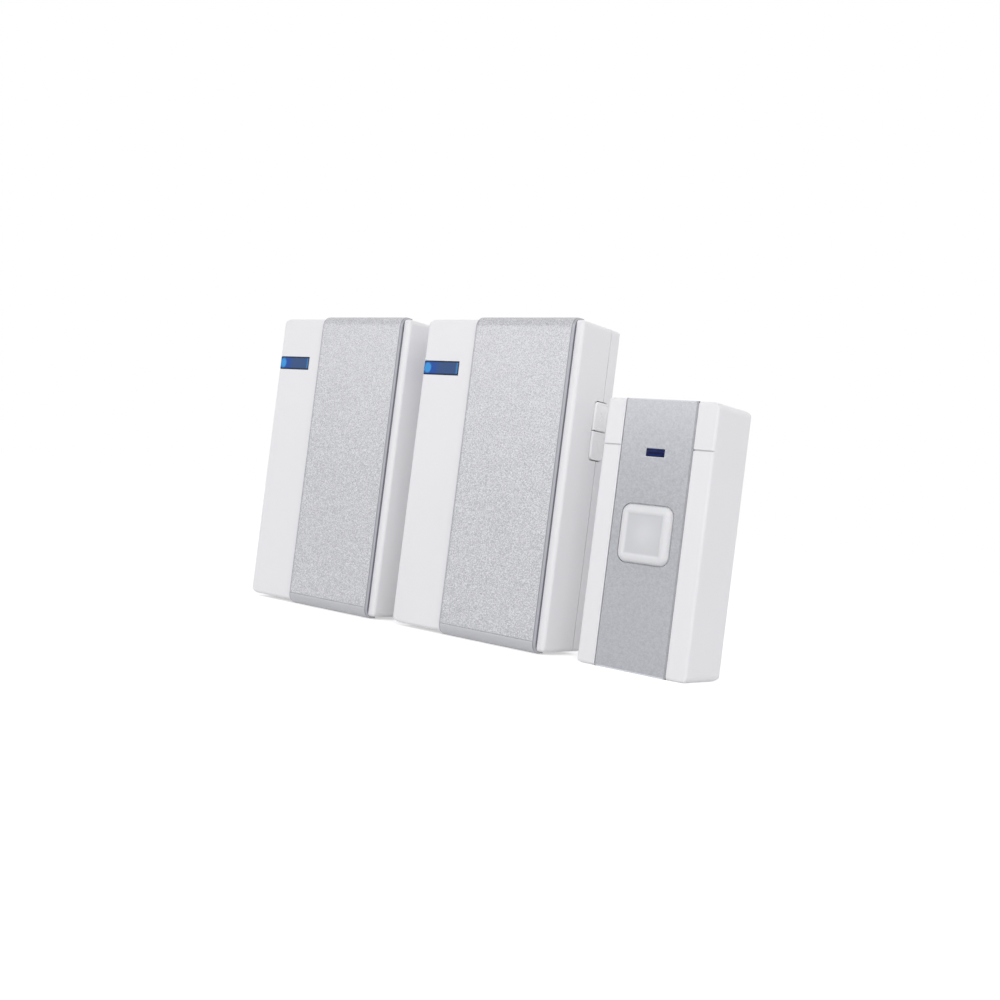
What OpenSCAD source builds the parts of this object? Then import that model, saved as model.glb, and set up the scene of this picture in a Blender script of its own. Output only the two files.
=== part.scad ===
// A wireless doorbell set: two battery chimes and one push-button unit, standing in a row.
// Fronts face -Y, X runs along the row and Z is up. The origin lies under the middle of the row.
// Inside its module each unit starts at its own lower left corner, with y = 0 on its white front face.

/* [Row] */
// Gap between the two chimes
chime_gap = 8.5; // [4:0.5:20]
// Gap between the right chime and the push-button unit
push_gap = 10.2; // [4:0.2:20]
// How far the push-button unit's front stands behind the chimes' fronts
push_setback = 3.6; // [0:0.2:6]

/* [Chime casing] */
// Width of each chime
chime_w = 65.5; // [63:0.5:76]
// Height of each chime's white casing
chime_h = 105; // [103:0.5:125]
// Thickness of the front wall
front_wall = 1.8; // [1.5:0.1:2.4]
// Thickness of the left and right walls
side_wall = 1.8; // [1.5:0.1:2.4]
// Thickness of the top and bottom walls
end_wall = 2.4; // [2.2:0.1:3]
// Thickness of the back wall
back_wall = 2.4; // [2.2:0.1:3]
// Radius of the front edges
edge_r = 1.2; // [1:0.1:2.4]
// Radius of the casing's left corners as seen from the front
left_corner_r = 3.8; // [2:0.1:4]
// Radius of its right corners as seen from the front
right_corner_r = 1.5; // [1.2:0.1:2.5]
// Radius of the back's left and right edges
back_r = 1.8; // [1:0.1:2.2]
// Radius of the back's top and bottom edges
back_end_r = 2.8; // [1:0.1:3]
// Depth of the rear cover, from the seam to the back
cover_depth = 6.2; // [4.8:0.1:6.2]
// Width of the fine groove along the seam
seam_groove_w = 0.4; // [0.2:0.1:0.6]
// Depth of that groove
seam_groove_deep = 0.4; // [0.2:0.1:0.6]
// Width of each foot under the rear cover
foot_w = 8; // [5:0.5:12]
// Size of a foot from front to back
foot_d = 2.6; // [2:0.1:2.8]
// Distance of the feet from the casing's sides
foot_in = 10; // [6:0.5:16]
// Distance of the feet from the seam
foot_back = 1.6; // [1:0.1:1.8]

/* [Chime panel] */
// Width of the silver panel
panel_w = 40.3; // [30:0.1:41]
// White strip to the right of the panel
panel_strip = 2.8; // [2.5:0.1:5]
// How far the panel stands in front of the casing
panel_proud = 1; // [0.6:0.1:1.6]
// How far the panel stands out above the top and below the bottom
panel_lip = 1; // [0.4:0.1:1.2]
// Depth of the channel in the casing that the panel lies in
panel_seat = 0.6; // [0.4:0.1:0.8]
// Radius over which the panel turns onto the top and the bottom
panel_turn_r = 3.7; // [3:0.1:5]
// Bevel along the panel's two long edges
panel_bevel = 0.5; // [0.3:0.1:0.9]
// Straight run of the panel between its turn and its hook
panel_leg = 0.1; // [0:0.1:8]
// Depth of the hook on each end of the panel
panel_hook = 0.7; // [0.5:0.1:0.8]
// Length of the hook along Y
panel_hook_y = 1; // [1:0.1:2]
// Distance from the hook's ends to the panel's sides
panel_hook_in = 6; // [3:0.5:10]
// Clearance round the panel
panel_fit = 0.1; // [0.05:0.05:0.2]

/* [Indicator lens] */
// Length of the lens along the front
lens_w = 16.3; // [12:0.1:19]
// Height of the lens
lens_h = 4.7; // [4:0.1:6]
// Distance of the lens's middle below the casing's top
lens_drop = 16.8; // [15:0.1:20]
// Length of the lens along the left side
lens_side = 8; // [5:0.5:10]
// Thickness of the flange behind the lens
lens_flange_t = 0.8; // [0.6:0.1:1.2]
// Width of the flange round the lens
lens_flange_w = 1; // [0.6:0.1:1.4]
// Clearance round the lens
lens_fit = 0.1; // [0.05:0.05:0.15]
// Distance of the indicator LED from the left side
led_x = 6; // [6:0.5:12]
// Diameter of the indicator LED
led_d = 5; // [3:0.5:5]
// Gap between the LED's tip and the lens
led_gap = 0.6; // [0.3:0.1:0.9]
// Height of the LED's collar
led_collar_t = 1; // [0.6:0.1:1.4]
// How far the LED's collar stands out past its dome
led_collar_w = 0.4; // [0.2:0.1:0.6]

/* [Side buttons] */
// Size of a side button from front to back
button_d = 7.2; // [5.5:0.1:7.2]
// Height of a side button
button_h = 9.2; // [7.5:0.1:9.4]
// Gap between the two side buttons
button_split = 0.4; // [0.3:0.1:0.8]
// Height of the gap between the buttons above the casing's bottom
button_z = 71.5; // [71:0.1:80]
// Distance of the buttons' middle from the back
button_back = 6.9; // [6.4:0.05:7]
// How far the buttons stand out
button_proud = 0.6; // [0.6:0.1:1.2]
// Radius of the buttons' outer corners
button_r = 1.5; // [0.8:0.1:2]
// Travel of a side button
button_travel = 0.5; // [0.3:0.1:0.6]
// Clearance of the buttons in their slot
button_fit = 0.25; // [0.1:0.05:0.3]
// Thickness of the flange that keeps a button in
button_flange_t = 0.9; // [0.7:0.1:1.2]
// Width of that flange
button_flange_w = 0.8; // [0.5:0.1:1]
// Gap between the flange and the wall
button_stop = 0.1; // [0.05:0.05:0.15]

/* [Side switches] */
// Height of a switch above its board
switch_rise = 5.5; // [4.5:0.1:5.6]
// Width of a switch
switch_w = 6; // [5:0.1:6.5]
// Depth of a switch behind its front
switch_t = 3.6; // [3.2:0.1:4.5]
// Diameter of a switch stem
stem_d = 2.4; // [1.8:0.1:3]
// Length of the stem outside the switch
stem_out = 1.2; // [1:0.1:1.6]
// Length of the stem inside the switch
stem_in = 1.4; // [1:0.1:1.6]
// Radial clearance of a stem in its switch
stem_fit = 0.05; // [0.03:0.01:0.1]
// Gap between a stem and what presses it
stem_gap = 0.05; // [0.02:0.01:0.1]

/* [Chime cells] */
// Diameter of a cell
cell_d = 14.5; // [13.8:0.1:14.6]
// Length of a cell without its contact nub
cell_len = 49.2; // [44:0.1:49.4]
// Height of a cell's contact nub
nub_h = 1.3; // [1:0.1:1.6]
// Diameter of a cell's contact nub
nub_d = 5.5; // [4:0.1:6]
// Gap between neighbouring cells
cell_gap = 0.4; // [0.3:0.1:1]
// Clearance in front of and behind the cells
cell_fit = 0.3; // [0.2:0.1:0.6]
// Gap between that clearance and the closed door
cell_door_gap = 0.4; // [0.3:0.1:0.8]
// Thickness of a contact plate
plate_t = 0.4; // [0.3:0.1:0.6]
// Width of a contact plate
plate_w = 10; // [8:0.5:12]
// Gap between a nub and its contact plate
plate_fit = 0.1; // [0.05:0.05:0.2]
// Length of a fitted battery spring
spring_len = 4.6; // [4.2:0.1:5.4]
// Diameter of a battery spring where it sits on its plate
spring_base_d = 9; // [8:0.1:10]
// Diameter of a battery spring at its tip
spring_tip_d = 5; // [4:0.1:6]
// Diameter of the spring wire
spring_wire = 0.8; // [0.5:0.1:0.9]
// Turns of a battery spring
spring_turns = 3; // [2:1:3]

/* [Chime battery box] */
// Thickness of the battery box's walls
tub_wall = 1.5; // [1.4:0.1:2]
// Gap between the battery box and the front wall
tub_gap = 0.8; // [0.5:0.1:2]
// Gap between the battery box and the bottom wall
tub_floor_gap = 0.6; // [0.4:0.1:1]
// Width of the ledge that the battery door closes on
door_ledge = 0.7; // [0.5:0.1:0.8]
// Gap round the battery door
door_gap = 0.2; // [0.15:0.05:0.3]
// Gap between the closed door and its ledge
door_fit = 0.1; // [0.05:0.05:0.2]
// Diameter of the door's hinge pins
hinge_pin_d = 1.2; // [1:0.1:1.4]
// Length of a hinge pin in its hole
hinge_pin_len = 1.3; // [1:0.1:1.8]
// Radial clearance of a hinge pin
hinge_fit = 0.05; // [0.03:0.01:0.1]
// Number of grip grooves on the door
grip_count = 4; // [3:1:6]
// Spacing of the grip grooves
grip_step = 2.2; // [1.8:0.1:3]
// Length of the grip grooves
grip_len = 16; // [10:0.5:24]
// Depth of the grip grooves
grip_deep = 0.5; // [0.3:0.1:0.8]

/* [Chime speaker] */
// Diameter of the speaker
speaker_d = 28; // [24:0.5:28]
// Thickness of the speaker frame
speaker_t = 0.8; // [0.6:0.1:1]
// Depth of the speaker frame
speaker_deep = 4.2; // [3.6:0.1:4.4]
// Diameter of the frame's flat bottom
speaker_base_d = 16; // [14:0.5:18]
// Diameter of the magnet
magnet_d = 13; // [10:0.5:14]
// Thickness of the magnet
magnet_t = 1.6; // [1.2:0.1:1.8]
// Thickness of the cone
cone_t = 0.3; // [0.2:0.05:0.4]
// Diameter of the cone's cap
cone_cap_d = 8; // [6:0.5:10]
// Wall of the ring that holds the speaker
speaker_ring = 1.2; // [1:0.1:1.6]
// Height of that ring
speaker_ring_h = 2.2; // [1.6:0.1:3]
// Clearance round the speaker
speaker_fit = 0.15; // [0.1:0.05:0.3]
// Width of a grille slot
grille_w = 1.4; // [1:0.1:1.8]
// Spacing of the grille slots
grille_step = 2.8; // [2.4:0.1:3.6]
// Diameter of the slotted area
grille_d = 21; // [16:0.5:23]

/* [Chime fixings] */
// Diameter of the screw posts
post_d = 5.6; // [5:0.1:6]
// Distance of the case screws from the sides
case_screw_x = 4.4; // [4:0.1:4.5]
// Distance of the case screws from the top and the bottom
case_screw_z = 7; // [6:0.1:9]
// Diameter of a case screw
case_screw_d = 2.5; // [2:0.1:2.8]
// Length of a case screw
case_screw_len = 10; // [7:0.5:12]
// Diameter of a case screw's head
case_head_d = 4.6; // [4:0.1:4.8]
// Height of a case screw's head
case_head_t = 1.7; // [1.4:0.1:1.9]
// Depth of a case screw's head below the back
case_head_sunk = 0.3; // [0.2:0.1:0.4]
// Radial clearance of screws in their holes
screw_fit = 0.05; // [0.03:0.01:0.1]
// Radial clearance of screw heads in their counterbores
head_fit = 0.25; // [0.2:0.05:0.3]
// Distance of the keyholes from the sides
keyhole_x = 10.5; // [10:0.1:12]
// Distance of the keyholes' round ends from the top
keyhole_z = 19; // [18:0.1:22]
// Diameter of a keyhole's round end
keyhole_d = 7.5; // [6:0.1:8]
// Width of a keyhole's slot
keyhole_slot_w = 4; // [3:0.1:4.4]
// Length of a keyhole's slot
keyhole_slot = 6; // [5:0.1:8]

/* [Chime board] */
// Thickness of the circuit boards
board_t = 1.2; // [1:0.1:1.6]
// Gap between a board and the walls round it
board_gap = 0.8; // [0.6:0.1:1.2]
// Diameter of the posts under a board
board_post_d = 5; // [4.4:0.1:5.6]
// Diameter of a board screw
board_screw_d = 2; // [1.6:0.1:2.4]
// Distance of the chime's board screws from the board's edges
board_screw_in = 4; // [3.6:0.1:4.4]
// Length of a board screw
board_screw_len = 5; // [4:0.5:5]
// Diameter of a board screw's head
board_head_d = 3.8; // [3:0.1:4.2]
// Height of a board screw's head
board_head_t = 1.3; // [1:0.1:1.6]
// Diameter of the antenna coil
antenna_d = 4.4; // [3.6:0.1:5]
// Diameter of the antenna's wire
antenna_wire = 0.8; // [0.6:0.1:1]
// Spacing of the antenna's turns
antenna_pitch = 1.6; // [1.5:0.1:2]
// Turns of the antenna
antenna_turns = 9; // [6:1:10]

/* [Chime wiring] */
// Diameter of the leads
lead_d = 1; // [0.8:0.1:1.2]
// Distance of the battery leads behind the board
lead_rise = 2.4; // [2.2:0.1:3]
// Clearance of leads and tabs in the battery box's walls
lead_fit = 0.2; // [0.1:0.05:0.3]
// Gap between the speaker leads' ends and the speaker frame
lead_gap = 0.25; // [0.2:0.05:0.4]
// Distance of each speaker lead from the speaker's middle
lead_side = 2; // [1.5:0.1:3]
// Width of the last contact's tab
tab_w = 3; // [2:0.1:4]
// How far that tab and its strip stand out of the battery box
tab_out = 1.2; // [1:0.1:1.3]

/* [Board components] */
// Length of a chip
chip_w = 6; // [5:0.1:7]
// Height of a chip
chip_t = 1.5; // [1:0.1:2]
// Width of a chip between its legs
chip_d = 4; // [3:0.1:4.4]
// Length of a chip's legs
leg_out = 1; // [0.6:0.1:1.2]
// Diameter of a can capacitor
can_d = 5; // [4:0.1:5.4]
// Height of a can capacitor
can_h = 5.4; // [3:0.1:5.6]
// Length of a crystal
crystal_w = 4.5; // [3:0.1:5]
// Height of a crystal
crystal_t = 3.2; // [2:0.1:3.6]
// Width of a crystal
crystal_d = 2; // [1.6:0.1:2.4]
// Distance of the components from the boards' edges
part_in = 2; // [1.5:0.1:3]
// Spacing of the components on the push-button unit's board
part_step = 10; // [8:0.5:12]

/* [Push-button unit] */
// Width of the push-button unit
push_w = 38.8; // [36:0.1:46]
// Height of the push-button unit
push_h = 82.5; // [80:0.5:100]
// Depth of the push-button unit
push_d = 21; // [21:0.5:28]
// Thickness of its front wall
push_front_wall = 2; // [1.6:0.1:2.4]
// Thickness of its left and right walls
push_side_wall = 2; // [1.8:0.1:2.4]
// Thickness of its top and bottom walls
push_end_wall = 2.6; // [2.4:0.1:3]
// Radius of its front edges
push_edge_r = 1; // [0.8:0.1:2]
// Radius of its corners as seen from the front
push_corner_r = 2.2; // [1:0.1:2.4]
// Radius of its back edges at the sides
push_back_side_r = 1; // [1:0.1:1.8]
// Radius of its back edges at the top and bottom
push_back_end_r = 2.4; // [1:0.1:2.4]
// Width of the white bands' front groove
groove_w = 0.5; // [0.3:0.1:0.8]
// Depth of that groove
groove_deep = 0.7; // [0.2:0.1:1]
// Distance of the groove below the top
groove_drop = 14.5; // [12:0.25:16]
// Thickness of the back plate
push_plate_t = 1.6; // [1.2:0.1:1.6]
// Clearance round the back plate
push_plate_fit = 0.15; // [0.1:0.05:0.2]
// Width of the corner posts that the back plate closes on
corner_post = 4; // [3:0.1:4.4]
// Diameter of the back plate's wall screw holes
wall_hole_d = 4.2; // [3.5:0.1:5]
// Spacing of the wall screw holes
wall_hole_step = 60; // [58:0.5:64]

/* [Push panel, key and lens] */
// Width of the push-button unit's silver panel
push_panel_w = 25.1; // [23:0.1:28]
// How far that panel stands out
push_panel_proud = 0.4; // [0.4:0.1:1]
// Depth of the channel that it lies in
push_panel_seat = 0.6; // [0.4:0.1:0.9]
// Bevel round that panel
push_panel_bevel = 0.5; // [0.3:0.1:0.5]
// Width and height of the key
key_w = 17.8; // [15:0.1:19]
// Height of the key's middle above the unit's middle
key_up = 0.3; // [-1:0.05:2]
// Corner radius of the key
key_r = 3; // [2:0.1:4]
// Radius of the key's front rim
key_rim_r = 2; // [0.6:0.1:2.4]
// How far the key stands in front of the panel
key_proud = 1.4; // [1:0.1:2]
// Width of the hollow in the key's face
key_dish_w = 12.5; // [9:0.1:12.8]
// Corner radius of that hollow
key_dish_r = 0.8; // [0.4:0.1:3]
// Depth of the hollow in the key's face
key_dish = 0.35; // [0.2:0.05:0.5]
// Wall of the key
key_wall = 1.6; // [1.4:0.1:2]
// Diameter of the key's middle post
key_post_d = 4.4; // [4:0.1:5]
// Clearance round the key
key_fit = 0.2; // [0.15:0.05:0.3]
// Thickness of the flange that keeps the key in
key_flange_t = 0.8; // [0.7:0.1:1]
// Width of that flange
key_flange_w = 1.2; // [0.8:0.1:1.4]
// Gap between the flange and the wall
key_stop = 0.1; // [0.05:0.05:0.15]
// Travel of the key
key_travel = 0.6; // [0.4:0.1:0.8]
// Length of the lens
push_lens_w = 6.2; // [5:0.1:7.5]
// Height of the lens
push_lens_h = 2.2; // [2:0.1:3]
// Distance of the lens's middle below the top
push_lens_drop = 16.2; // [14:0.1:18]
// How far the lens stands in front of the panel
push_lens_proud = 0.1; // [0.05:0.05:0.3]
// Diameter of its LED
push_led_d = 3; // [2:0.5:3]

/* [Push board and battery] */
// Width and depth of the key's switch
push_switch_w = 6; // [5:0.1:6.5]
// Height of the key's switch
push_switch_h = 3.1; // [2.9:0.1:3.5]
// Diameter of the key switch's stem
push_stem_d = 3.5; // [3:0.1:3.8]
// Length of that stem outside the switch
push_stem_out = 1.1; // [1:0.1:1.5]
// Length of that stem inside the switch
push_stem_in = 1.2; // [1:0.1:1.3]
// Gap between the board and the side walls
push_board_side = 1.2; // [0.8:0.1:1.6]
// Gap between the board and the corner posts
push_board_end = 1.4; // [1:0.1:1.6]
// Distance of the board screws from the board's edges
push_screw_in = 3.9; // [3:0.1:4]
// Diameter of the battery
push_cell_d = 10.3; // [9:0.1:10.4]
// Length of the battery without its nub
push_cell_len = 27.6; // [24:0.1:28]
// Gap between the battery and its board
push_cell_gap = 0.4; // [0.3:0.1:0.6]
// Height of the battery's lower contact above the unit's bottom
push_cell_z = 20; // [17:0.5:22]
// Length of the fitted battery spring
push_spring_len = 5; // [4.5:0.1:5.5]
// Diameter of that spring
push_spring_d = 6; // [5:0.1:7]
// Width of the battery's contacts
push_contact_w = 8; // [6:0.1:8.4]

/* [Hidden] */
$fn = 64;
// Overlap that makes a cut run clear of a face
over = 1;
// Depth by which one part of a solid is sunk into the next
sink = 0.2;
// Rings on each turn of a coil
turn_rings = 8;
// Sides of a coil's wire and of a lead
coil_sides = 6;
lead_sides = 8;
// Legs on each long side of a chip
chip_legs = 4;

// Depths inside a chime
chime_d = front_wall + tub_gap + tub_wall + cell_d + 2 * cell_fit + cell_door_gap + back_wall;
seam_y = chime_d - cover_depth;
inner_back = chime_d - back_wall;
casing_corners = [left_corner_r, right_corner_r, right_corner_r, left_corner_r];
cell_y = front_wall + tub_gap + tub_wall + cell_fit + cell_d / 2;

// The battery box and its door, for as many cells as fit between the screw posts
cell_pitch = cell_d + cell_gap;
post_inner = case_screw_x + post_d / 2 + board_gap / 2;
cell_count = floor((chime_w - 2 * post_inner - 2 * tub_wall - cell_gap) / cell_pitch);
tub_in_w = cell_count * cell_pitch + cell_gap;
tub_in_x = (chime_w - tub_in_w) / 2;
tub_in_z = end_wall + tub_floor_gap + tub_wall;
tub_in_h = 2 * plate_t + spring_len + cell_len + nub_h + plate_fit;
tub_front = front_wall + tub_gap;
tub_top = tub_in_z + tub_in_h + tub_wall;
door_t = back_wall - door_fit;
door_w = tub_in_w + 2 * door_ledge;
door_x = tub_in_x - door_ledge;
door_z = tub_in_z - door_ledge;
door_top = tub_in_z + tub_in_h + door_ledge;
hinge_y = chime_d - door_t / 2;
hinge_z = door_z + door_t / 2;

// The silver panel
panel_x = chime_w - panel_strip - panel_w;
panel_end = panel_turn_r - panel_lip + panel_leg + panel_hook_y;
panel_seat_r = panel_turn_r - panel_lip - panel_seat;

// The side buttons, their switches and the board that these stand on
button_y = chime_d - button_back;
button_inner = chime_w - side_wall - button_stop - button_flange_t;
stem_tip = button_inner - stem_gap;
switch_x = stem_tip - stem_out;
board_back = button_y - switch_rise / 2;
board_front = board_back - board_t;
board_x = side_wall + board_gap;
board_w = switch_x - board_x;
board_z = tub_top + board_gap;
board_h = chime_h - end_wall - board_gap - board_z;
button_low = [button_z - button_split / 2 - button_h, button_z + button_split / 2];

// The battery leads, and the tab of the last cell's contact, which comes out of the battery box's side
lead_y = board_back + lead_rise;
tab_x = tub_in_x + tub_in_w + tub_wall;
tab_z = tub_in_z + (nub_up(cell_count - 1) ? 0 : tub_in_h - plate_t);
strip_top = tub_top - lead_d;

// The indicator lens, and the speaker in the middle of the room above the battery box
lens_z = chime_h - lens_drop;
speaker_z = (tub_top + chime_h - end_wall) / 2;
speaker_rim = speaker_d / 2 - 2 * speaker_t;

// Places of the screws, as pairs of x and z
case_screws = [
    for (x = [case_screw_x, chime_w - case_screw_x],
         z = [case_screw_z, chime_h - case_screw_z]) [x, z]
];
board_screws = [
    [board_x + board_screw_in, board_z + board_screw_in],
    [tab_x - 2 * board_screw_in, board_z + board_screw_in],
    [lens_w + lens_flange_w + board_screw_in, lens_z],
    [board_x + board_w - 2 * board_screw_in, chime_h - keyhole_z + board_screw_in]
];

// The push-button unit
push_panel_x = (push_w - push_panel_w) / 2;
groove_z = push_h - groove_drop;
push_lens_z = push_h - push_lens_drop;
key_z = push_h / 2 + key_up;
key_face = -push_panel_proud - key_proud;
key_back = push_front_wall + key_stop + key_flange_t;
push_board_y = key_back + stem_gap + push_stem_out + push_switch_h;
push_board_x = push_side_wall + push_board_side;
push_board_w = push_w - 2 * push_board_x;
push_board_z = push_end_wall + corner_post + push_board_end;
push_board_h = push_h - 2 * push_board_z;
push_board_back = push_board_y + board_t;
push_plate_y = push_d - push_plate_t;
push_cell_y = push_board_back + push_cell_gap + push_cell_d / 2;
push_cell_base = push_cell_z + plate_t + push_spring_len;
push_cell_top = push_cell_base + push_cell_len + nub_h;
push_screws = [
    for (x = [push_board_x + push_screw_in, push_board_x + push_board_w - push_screw_in],
         z = [push_board_z + push_screw_in, push_board_z + push_board_h - push_screw_in]) [x, z]
];
wall_holes = [push_h / 2 - wall_hole_step / 2, push_h / 2 + wall_hole_step / 2];

// The row
row_w = 2 * chime_w + chime_gap + push_gap + push_w;
row_back = max(chime_d, push_setback + push_d);
row_y = (panel_proud - row_back) / 2;

// Colours
white = "#ecebed";
silver = "#c9cbcf";
blue = "#3c78b4";
dark_blue = "#2d335b";
board_green = "#2f6b46";
metal = "#b9bcc0";
black = "#26272a";
copper = "#b87742";

CHIMES = ["left_chime_", "right_chime_"];
CHIME_PIECES = [
    "front_shell", "front_panel", "indicator_lens", "rear_cover", "battery_door", "battery_cells",
    "battery_springs", "contact_plates", "circuit_board", "board_parts", "board_screws", "case_screws",
    "speaker_frame", "speaker_magnet", "speaker_cone", "indicator_led", "melody_button", "volume_button",
    "switch_bodies", "melody_stem", "volume_stem", "antenna_coil", "wiring"
];
PUSH_PIECES = [
    "cover", "panel", "key", "lens", "back_plate", "circuit_board", "switch_body", "switch_stem", "led",
    "battery", "battery_spring", "battery_contacts", "board_parts", "board_screws"
];
NODES = [
    for (chime = CHIMES, piece = CHIME_PIECES) str(chime, piece),
    for (piece = PUSH_PIECES) str("push_", piece)
];
node = "all";

function unit(v) = v / norm(v);

// Points of a coil round Z whose radius changes evenly from r0 to r1
function coil(r0, r1, z0, z1, turns) = [
    for (k = [0 : turns * turn_rings])
        let (t = k / (turns * turn_rings), r = r0 + (r1 - r0) * t, a = 360 * turns * t)
            [r * cos(a), r * sin(a), z0 + (z1 - z0) * t]
];

// Least gap between a coil's wire and itself, over rings that lie at least half a turn apart
function least_gap(path, wire) = min([
    for (i = [0 : len(path) - 1], j = [i + turn_rings / 2 : 1 : len(path) - 1])
        norm(path[i] - path[j]) - wire
]);

// Points of the battery springs and of the antenna
wire_r = spring_wire / 2;
battery_coil = coil(spring_base_d / 2, spring_tip_d / 2, wire_r, spring_len - wire_r, spring_turns);
push_coil = coil(push_spring_d / 2, push_spring_d / 2, wire_r, push_spring_len - wire_r, spring_turns);
antenna_turn_coil = coil(antenna_d / 2, antenna_d / 2, 0, antenna_turns * antenna_pitch, antenna_turns);
echo(battery_spring_least_gap = least_gap(battery_coil, spring_wire));
echo(push_spring_least_gap = least_gap(push_coil, spring_wire));
echo(antenna_least_gap = least_gap(antenna_turn_coil, antenna_wire));

// A wire of one diameter along a path that never runs along the given axis
module wire(path, diameter, axis, sides) {
    last = len(path) - 1;
    r = diameter / 2;
    turn = 360 / sides;
    rings = [
        for (k = [0 : last])
            let (ahead = unit(path[min(k + 1, last)] - path[max(k - 1, 0)]),
                 side = unit(cross(ahead, axis)),
                 up = cross(side, ahead))
                for (s = [0 : sides - 1]) path[k] + r * (cos(turn * s) * side + sin(turn * s) * up)
    ];
    skin = [
        for (k = [0 : last - 1], s = [0 : sides - 1])
            let (a = k * sides + s, b = k * sides + (s + 1) % sides)
                each [[a, b, b + sides], [a, b + sides, a + sides]]
    ];
    end = last * sides;
    caps = [for (s = [1 : sides - 2]) each [[0, s + 1, s], [end, end + s, end + s + 1]]];
    polyhedron(points = rings, faces = concat(skin, caps));
}

// The waste in the corner of a rectangle beside a round of radius r
module corner_waste(r) {
    difference() {
        translate([-over, -over]) square(r + over);
        translate([r, r]) circle(r);
    }
}

// A rectangle whose corners have their own radii, anticlockwise from the origin
module rounded_rect(size, radii) {
    corners = [[0, 0], [size.x, 0], size, [0, size.y]];
    difference() {
        square(size);
        for (k = [0 : 3]) {
            if (radii[k] > 0) translate(corners[k]) rotate(90 * k) corner_waste(radii[k]);
        }
    }
}

// Extrudes an outline drawn in X and Z along Y, from y = 0 back
module back_from_front(depth) {
    translate([0, depth, 0]) rotate([90, 0, 0]) linear_extrude(depth) children();
}

// Extrudes an outline drawn in Y and Z along X, from x = 0 to the right
module right_from_left(width) {
    rotate([90, 0, 90]) linear_extrude(width) children();
}

// Turns a shape that stands on z = 0 so that it lies along +Y
module along_y() {
    rotate([-90, 0, 0]) children();
}

// Turns a shape that stands on z = 0 so that it lies along -Y
module along_minus_y() {
    rotate([90, 0, 0]) children();
}

// Turns a shape that stands on z = 0 so that it lies along +X
module along_x() {
    rotate([0, 90, 0]) children();
}

// The same radius at four corners
function four(r) = [r, r, r, r];

// A box rounded as seen from the front, the side and above, with radii for its front's four corners
module rounded_box(size, corner_r, front_r, side_back_r, end_back_r) {
    intersection() {
        back_from_front(size.y) rounded_rect([size.x, size.z], corner_r);
        right_from_left(size.x) rounded_rect([size.y, size.z], [front_r, end_back_r, end_back_r, front_r]);
        linear_extrude(size.z) rounded_rect([size.x, size.y], [front_r, front_r, side_back_r, side_back_r]);
    }
}

// A pan head screw that points along -Y, with its head's seat at the origin and a cross in its head
module screw(diameter, length, head_d, head_t) {
    slot = [head_d * 2 / 3, head_t, head_d / 6];
    difference() {
        union() {
            along_minus_y() cylinder(d = diameter, h = length);
            along_y() cylinder(d = head_d, h = head_t);
        }
        for (turn = [0, 90])
            rotate([0, turn, 0]) translate([-slot.x / 2, head_t / 2, -slot.z / 2]) cube(slot);
    }
}

// A cell that stands on its flat end, with its nub on top
module cell(diameter, length) {
    cylinder(d = diameter, h = length);
    cylinder(d = nub_d, h = length + nub_h);
}

// Outline of the side buttons' slot, in Y and Z
module button_slot() {
    slot = [button_d + 2 * button_fit, 2 * button_h + button_split + 2 * button_fit];
    r = button_r + button_fit;
    translate([button_y - slot.x / 2, button_z - slot.y / 2]) rounded_rect(slot, [r, r, r, r]);
}

// Outline, in Y and Z, of the casing inside the panel's channel
module panel_seat_outline() {
    translate([panel_seat, panel_seat])
        rounded_rect([chime_d, chime_h - 2 * panel_seat], [panel_seat_r, 0, 0, panel_seat_r]);
}

// The hooks on the panel's two ends, grown by a clearance
module panel_hooks(grow) {
    size = [panel_w - 2 * panel_hook_in + 2 * grow, panel_hook_y + 2 * grow, panel_hook + sink + grow];
    x = panel_x + panel_hook_in - grow;
    y = panel_end - panel_hook_y - grow;
    translate([x, y, panel_seat - sink]) cube(size);
    translate([x, y, chime_h - panel_seat + sink - size.z]) cube(size);
}

module front_shell() {
    post_len = seam_y - front_wall + sink;
    color(white) difference() {
        union() {
            difference() {
                rounded_box([chime_w, seam_y, chime_h], casing_corners, edge_r, 0, 0);
                translate([side_wall, front_wall, end_wall])
                    cube([chime_w - 2 * side_wall, chime_d, chime_h - 2 * end_wall]);
            }
            for (p = case_screws)
                translate([p.x, front_wall - sink, p.y]) along_y() cylinder(d = post_d, h = post_len);
            for (p = board_screws)
                translate([p.x, front_wall - sink, p.y])
                    along_y() cylinder(d = board_post_d, h = board_front - front_wall + sink);
        }
        for (p = case_screws)
            translate([p.x, seam_y + over, p.y])
                along_minus_y() cylinder(d = case_screw_d + 2 * screw_fit, h = case_screw_len);
        for (p = board_screws)
            translate([p.x, board_front + over, p.y])
                along_minus_y() cylinder(d = board_screw_d + 2 * screw_fit, h = board_screw_len + over);
        translate([panel_x - panel_fit, 0, 0]) right_from_left(panel_w + 2 * panel_fit) difference() {
            translate([-over, -over]) square([panel_end + panel_fit + over, chime_h + 2 * over]);
            panel_seat_outline();
        }
        panel_hooks(panel_fit);
        lens_block(lens_fit);
        translate([chime_w - side_wall - over, 0, 0]) right_from_left(side_wall + 2 * over) button_slot();
    }
}

module front_panel() {
    height = chime_h + 2 * panel_lip;
    depth = panel_end + panel_proud;
    color(silver) {
        intersection() {
            translate([panel_x, 0, 0]) right_from_left(panel_w) difference() {
                translate([-panel_proud, -panel_lip])
                    rounded_rect([depth, height], [panel_turn_r, 0, 0, panel_turn_r]);
                panel_seat_outline();
            }
            translate([panel_x, -panel_proud, -panel_lip]) linear_extrude(height) polygon([
                [panel_bevel, 0], [panel_w - panel_bevel, 0], [panel_w, panel_bevel],
                [panel_w, depth], [0, depth], [0, panel_bevel]
            ]);
        }
        panel_hooks(0);
    }
}

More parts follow.
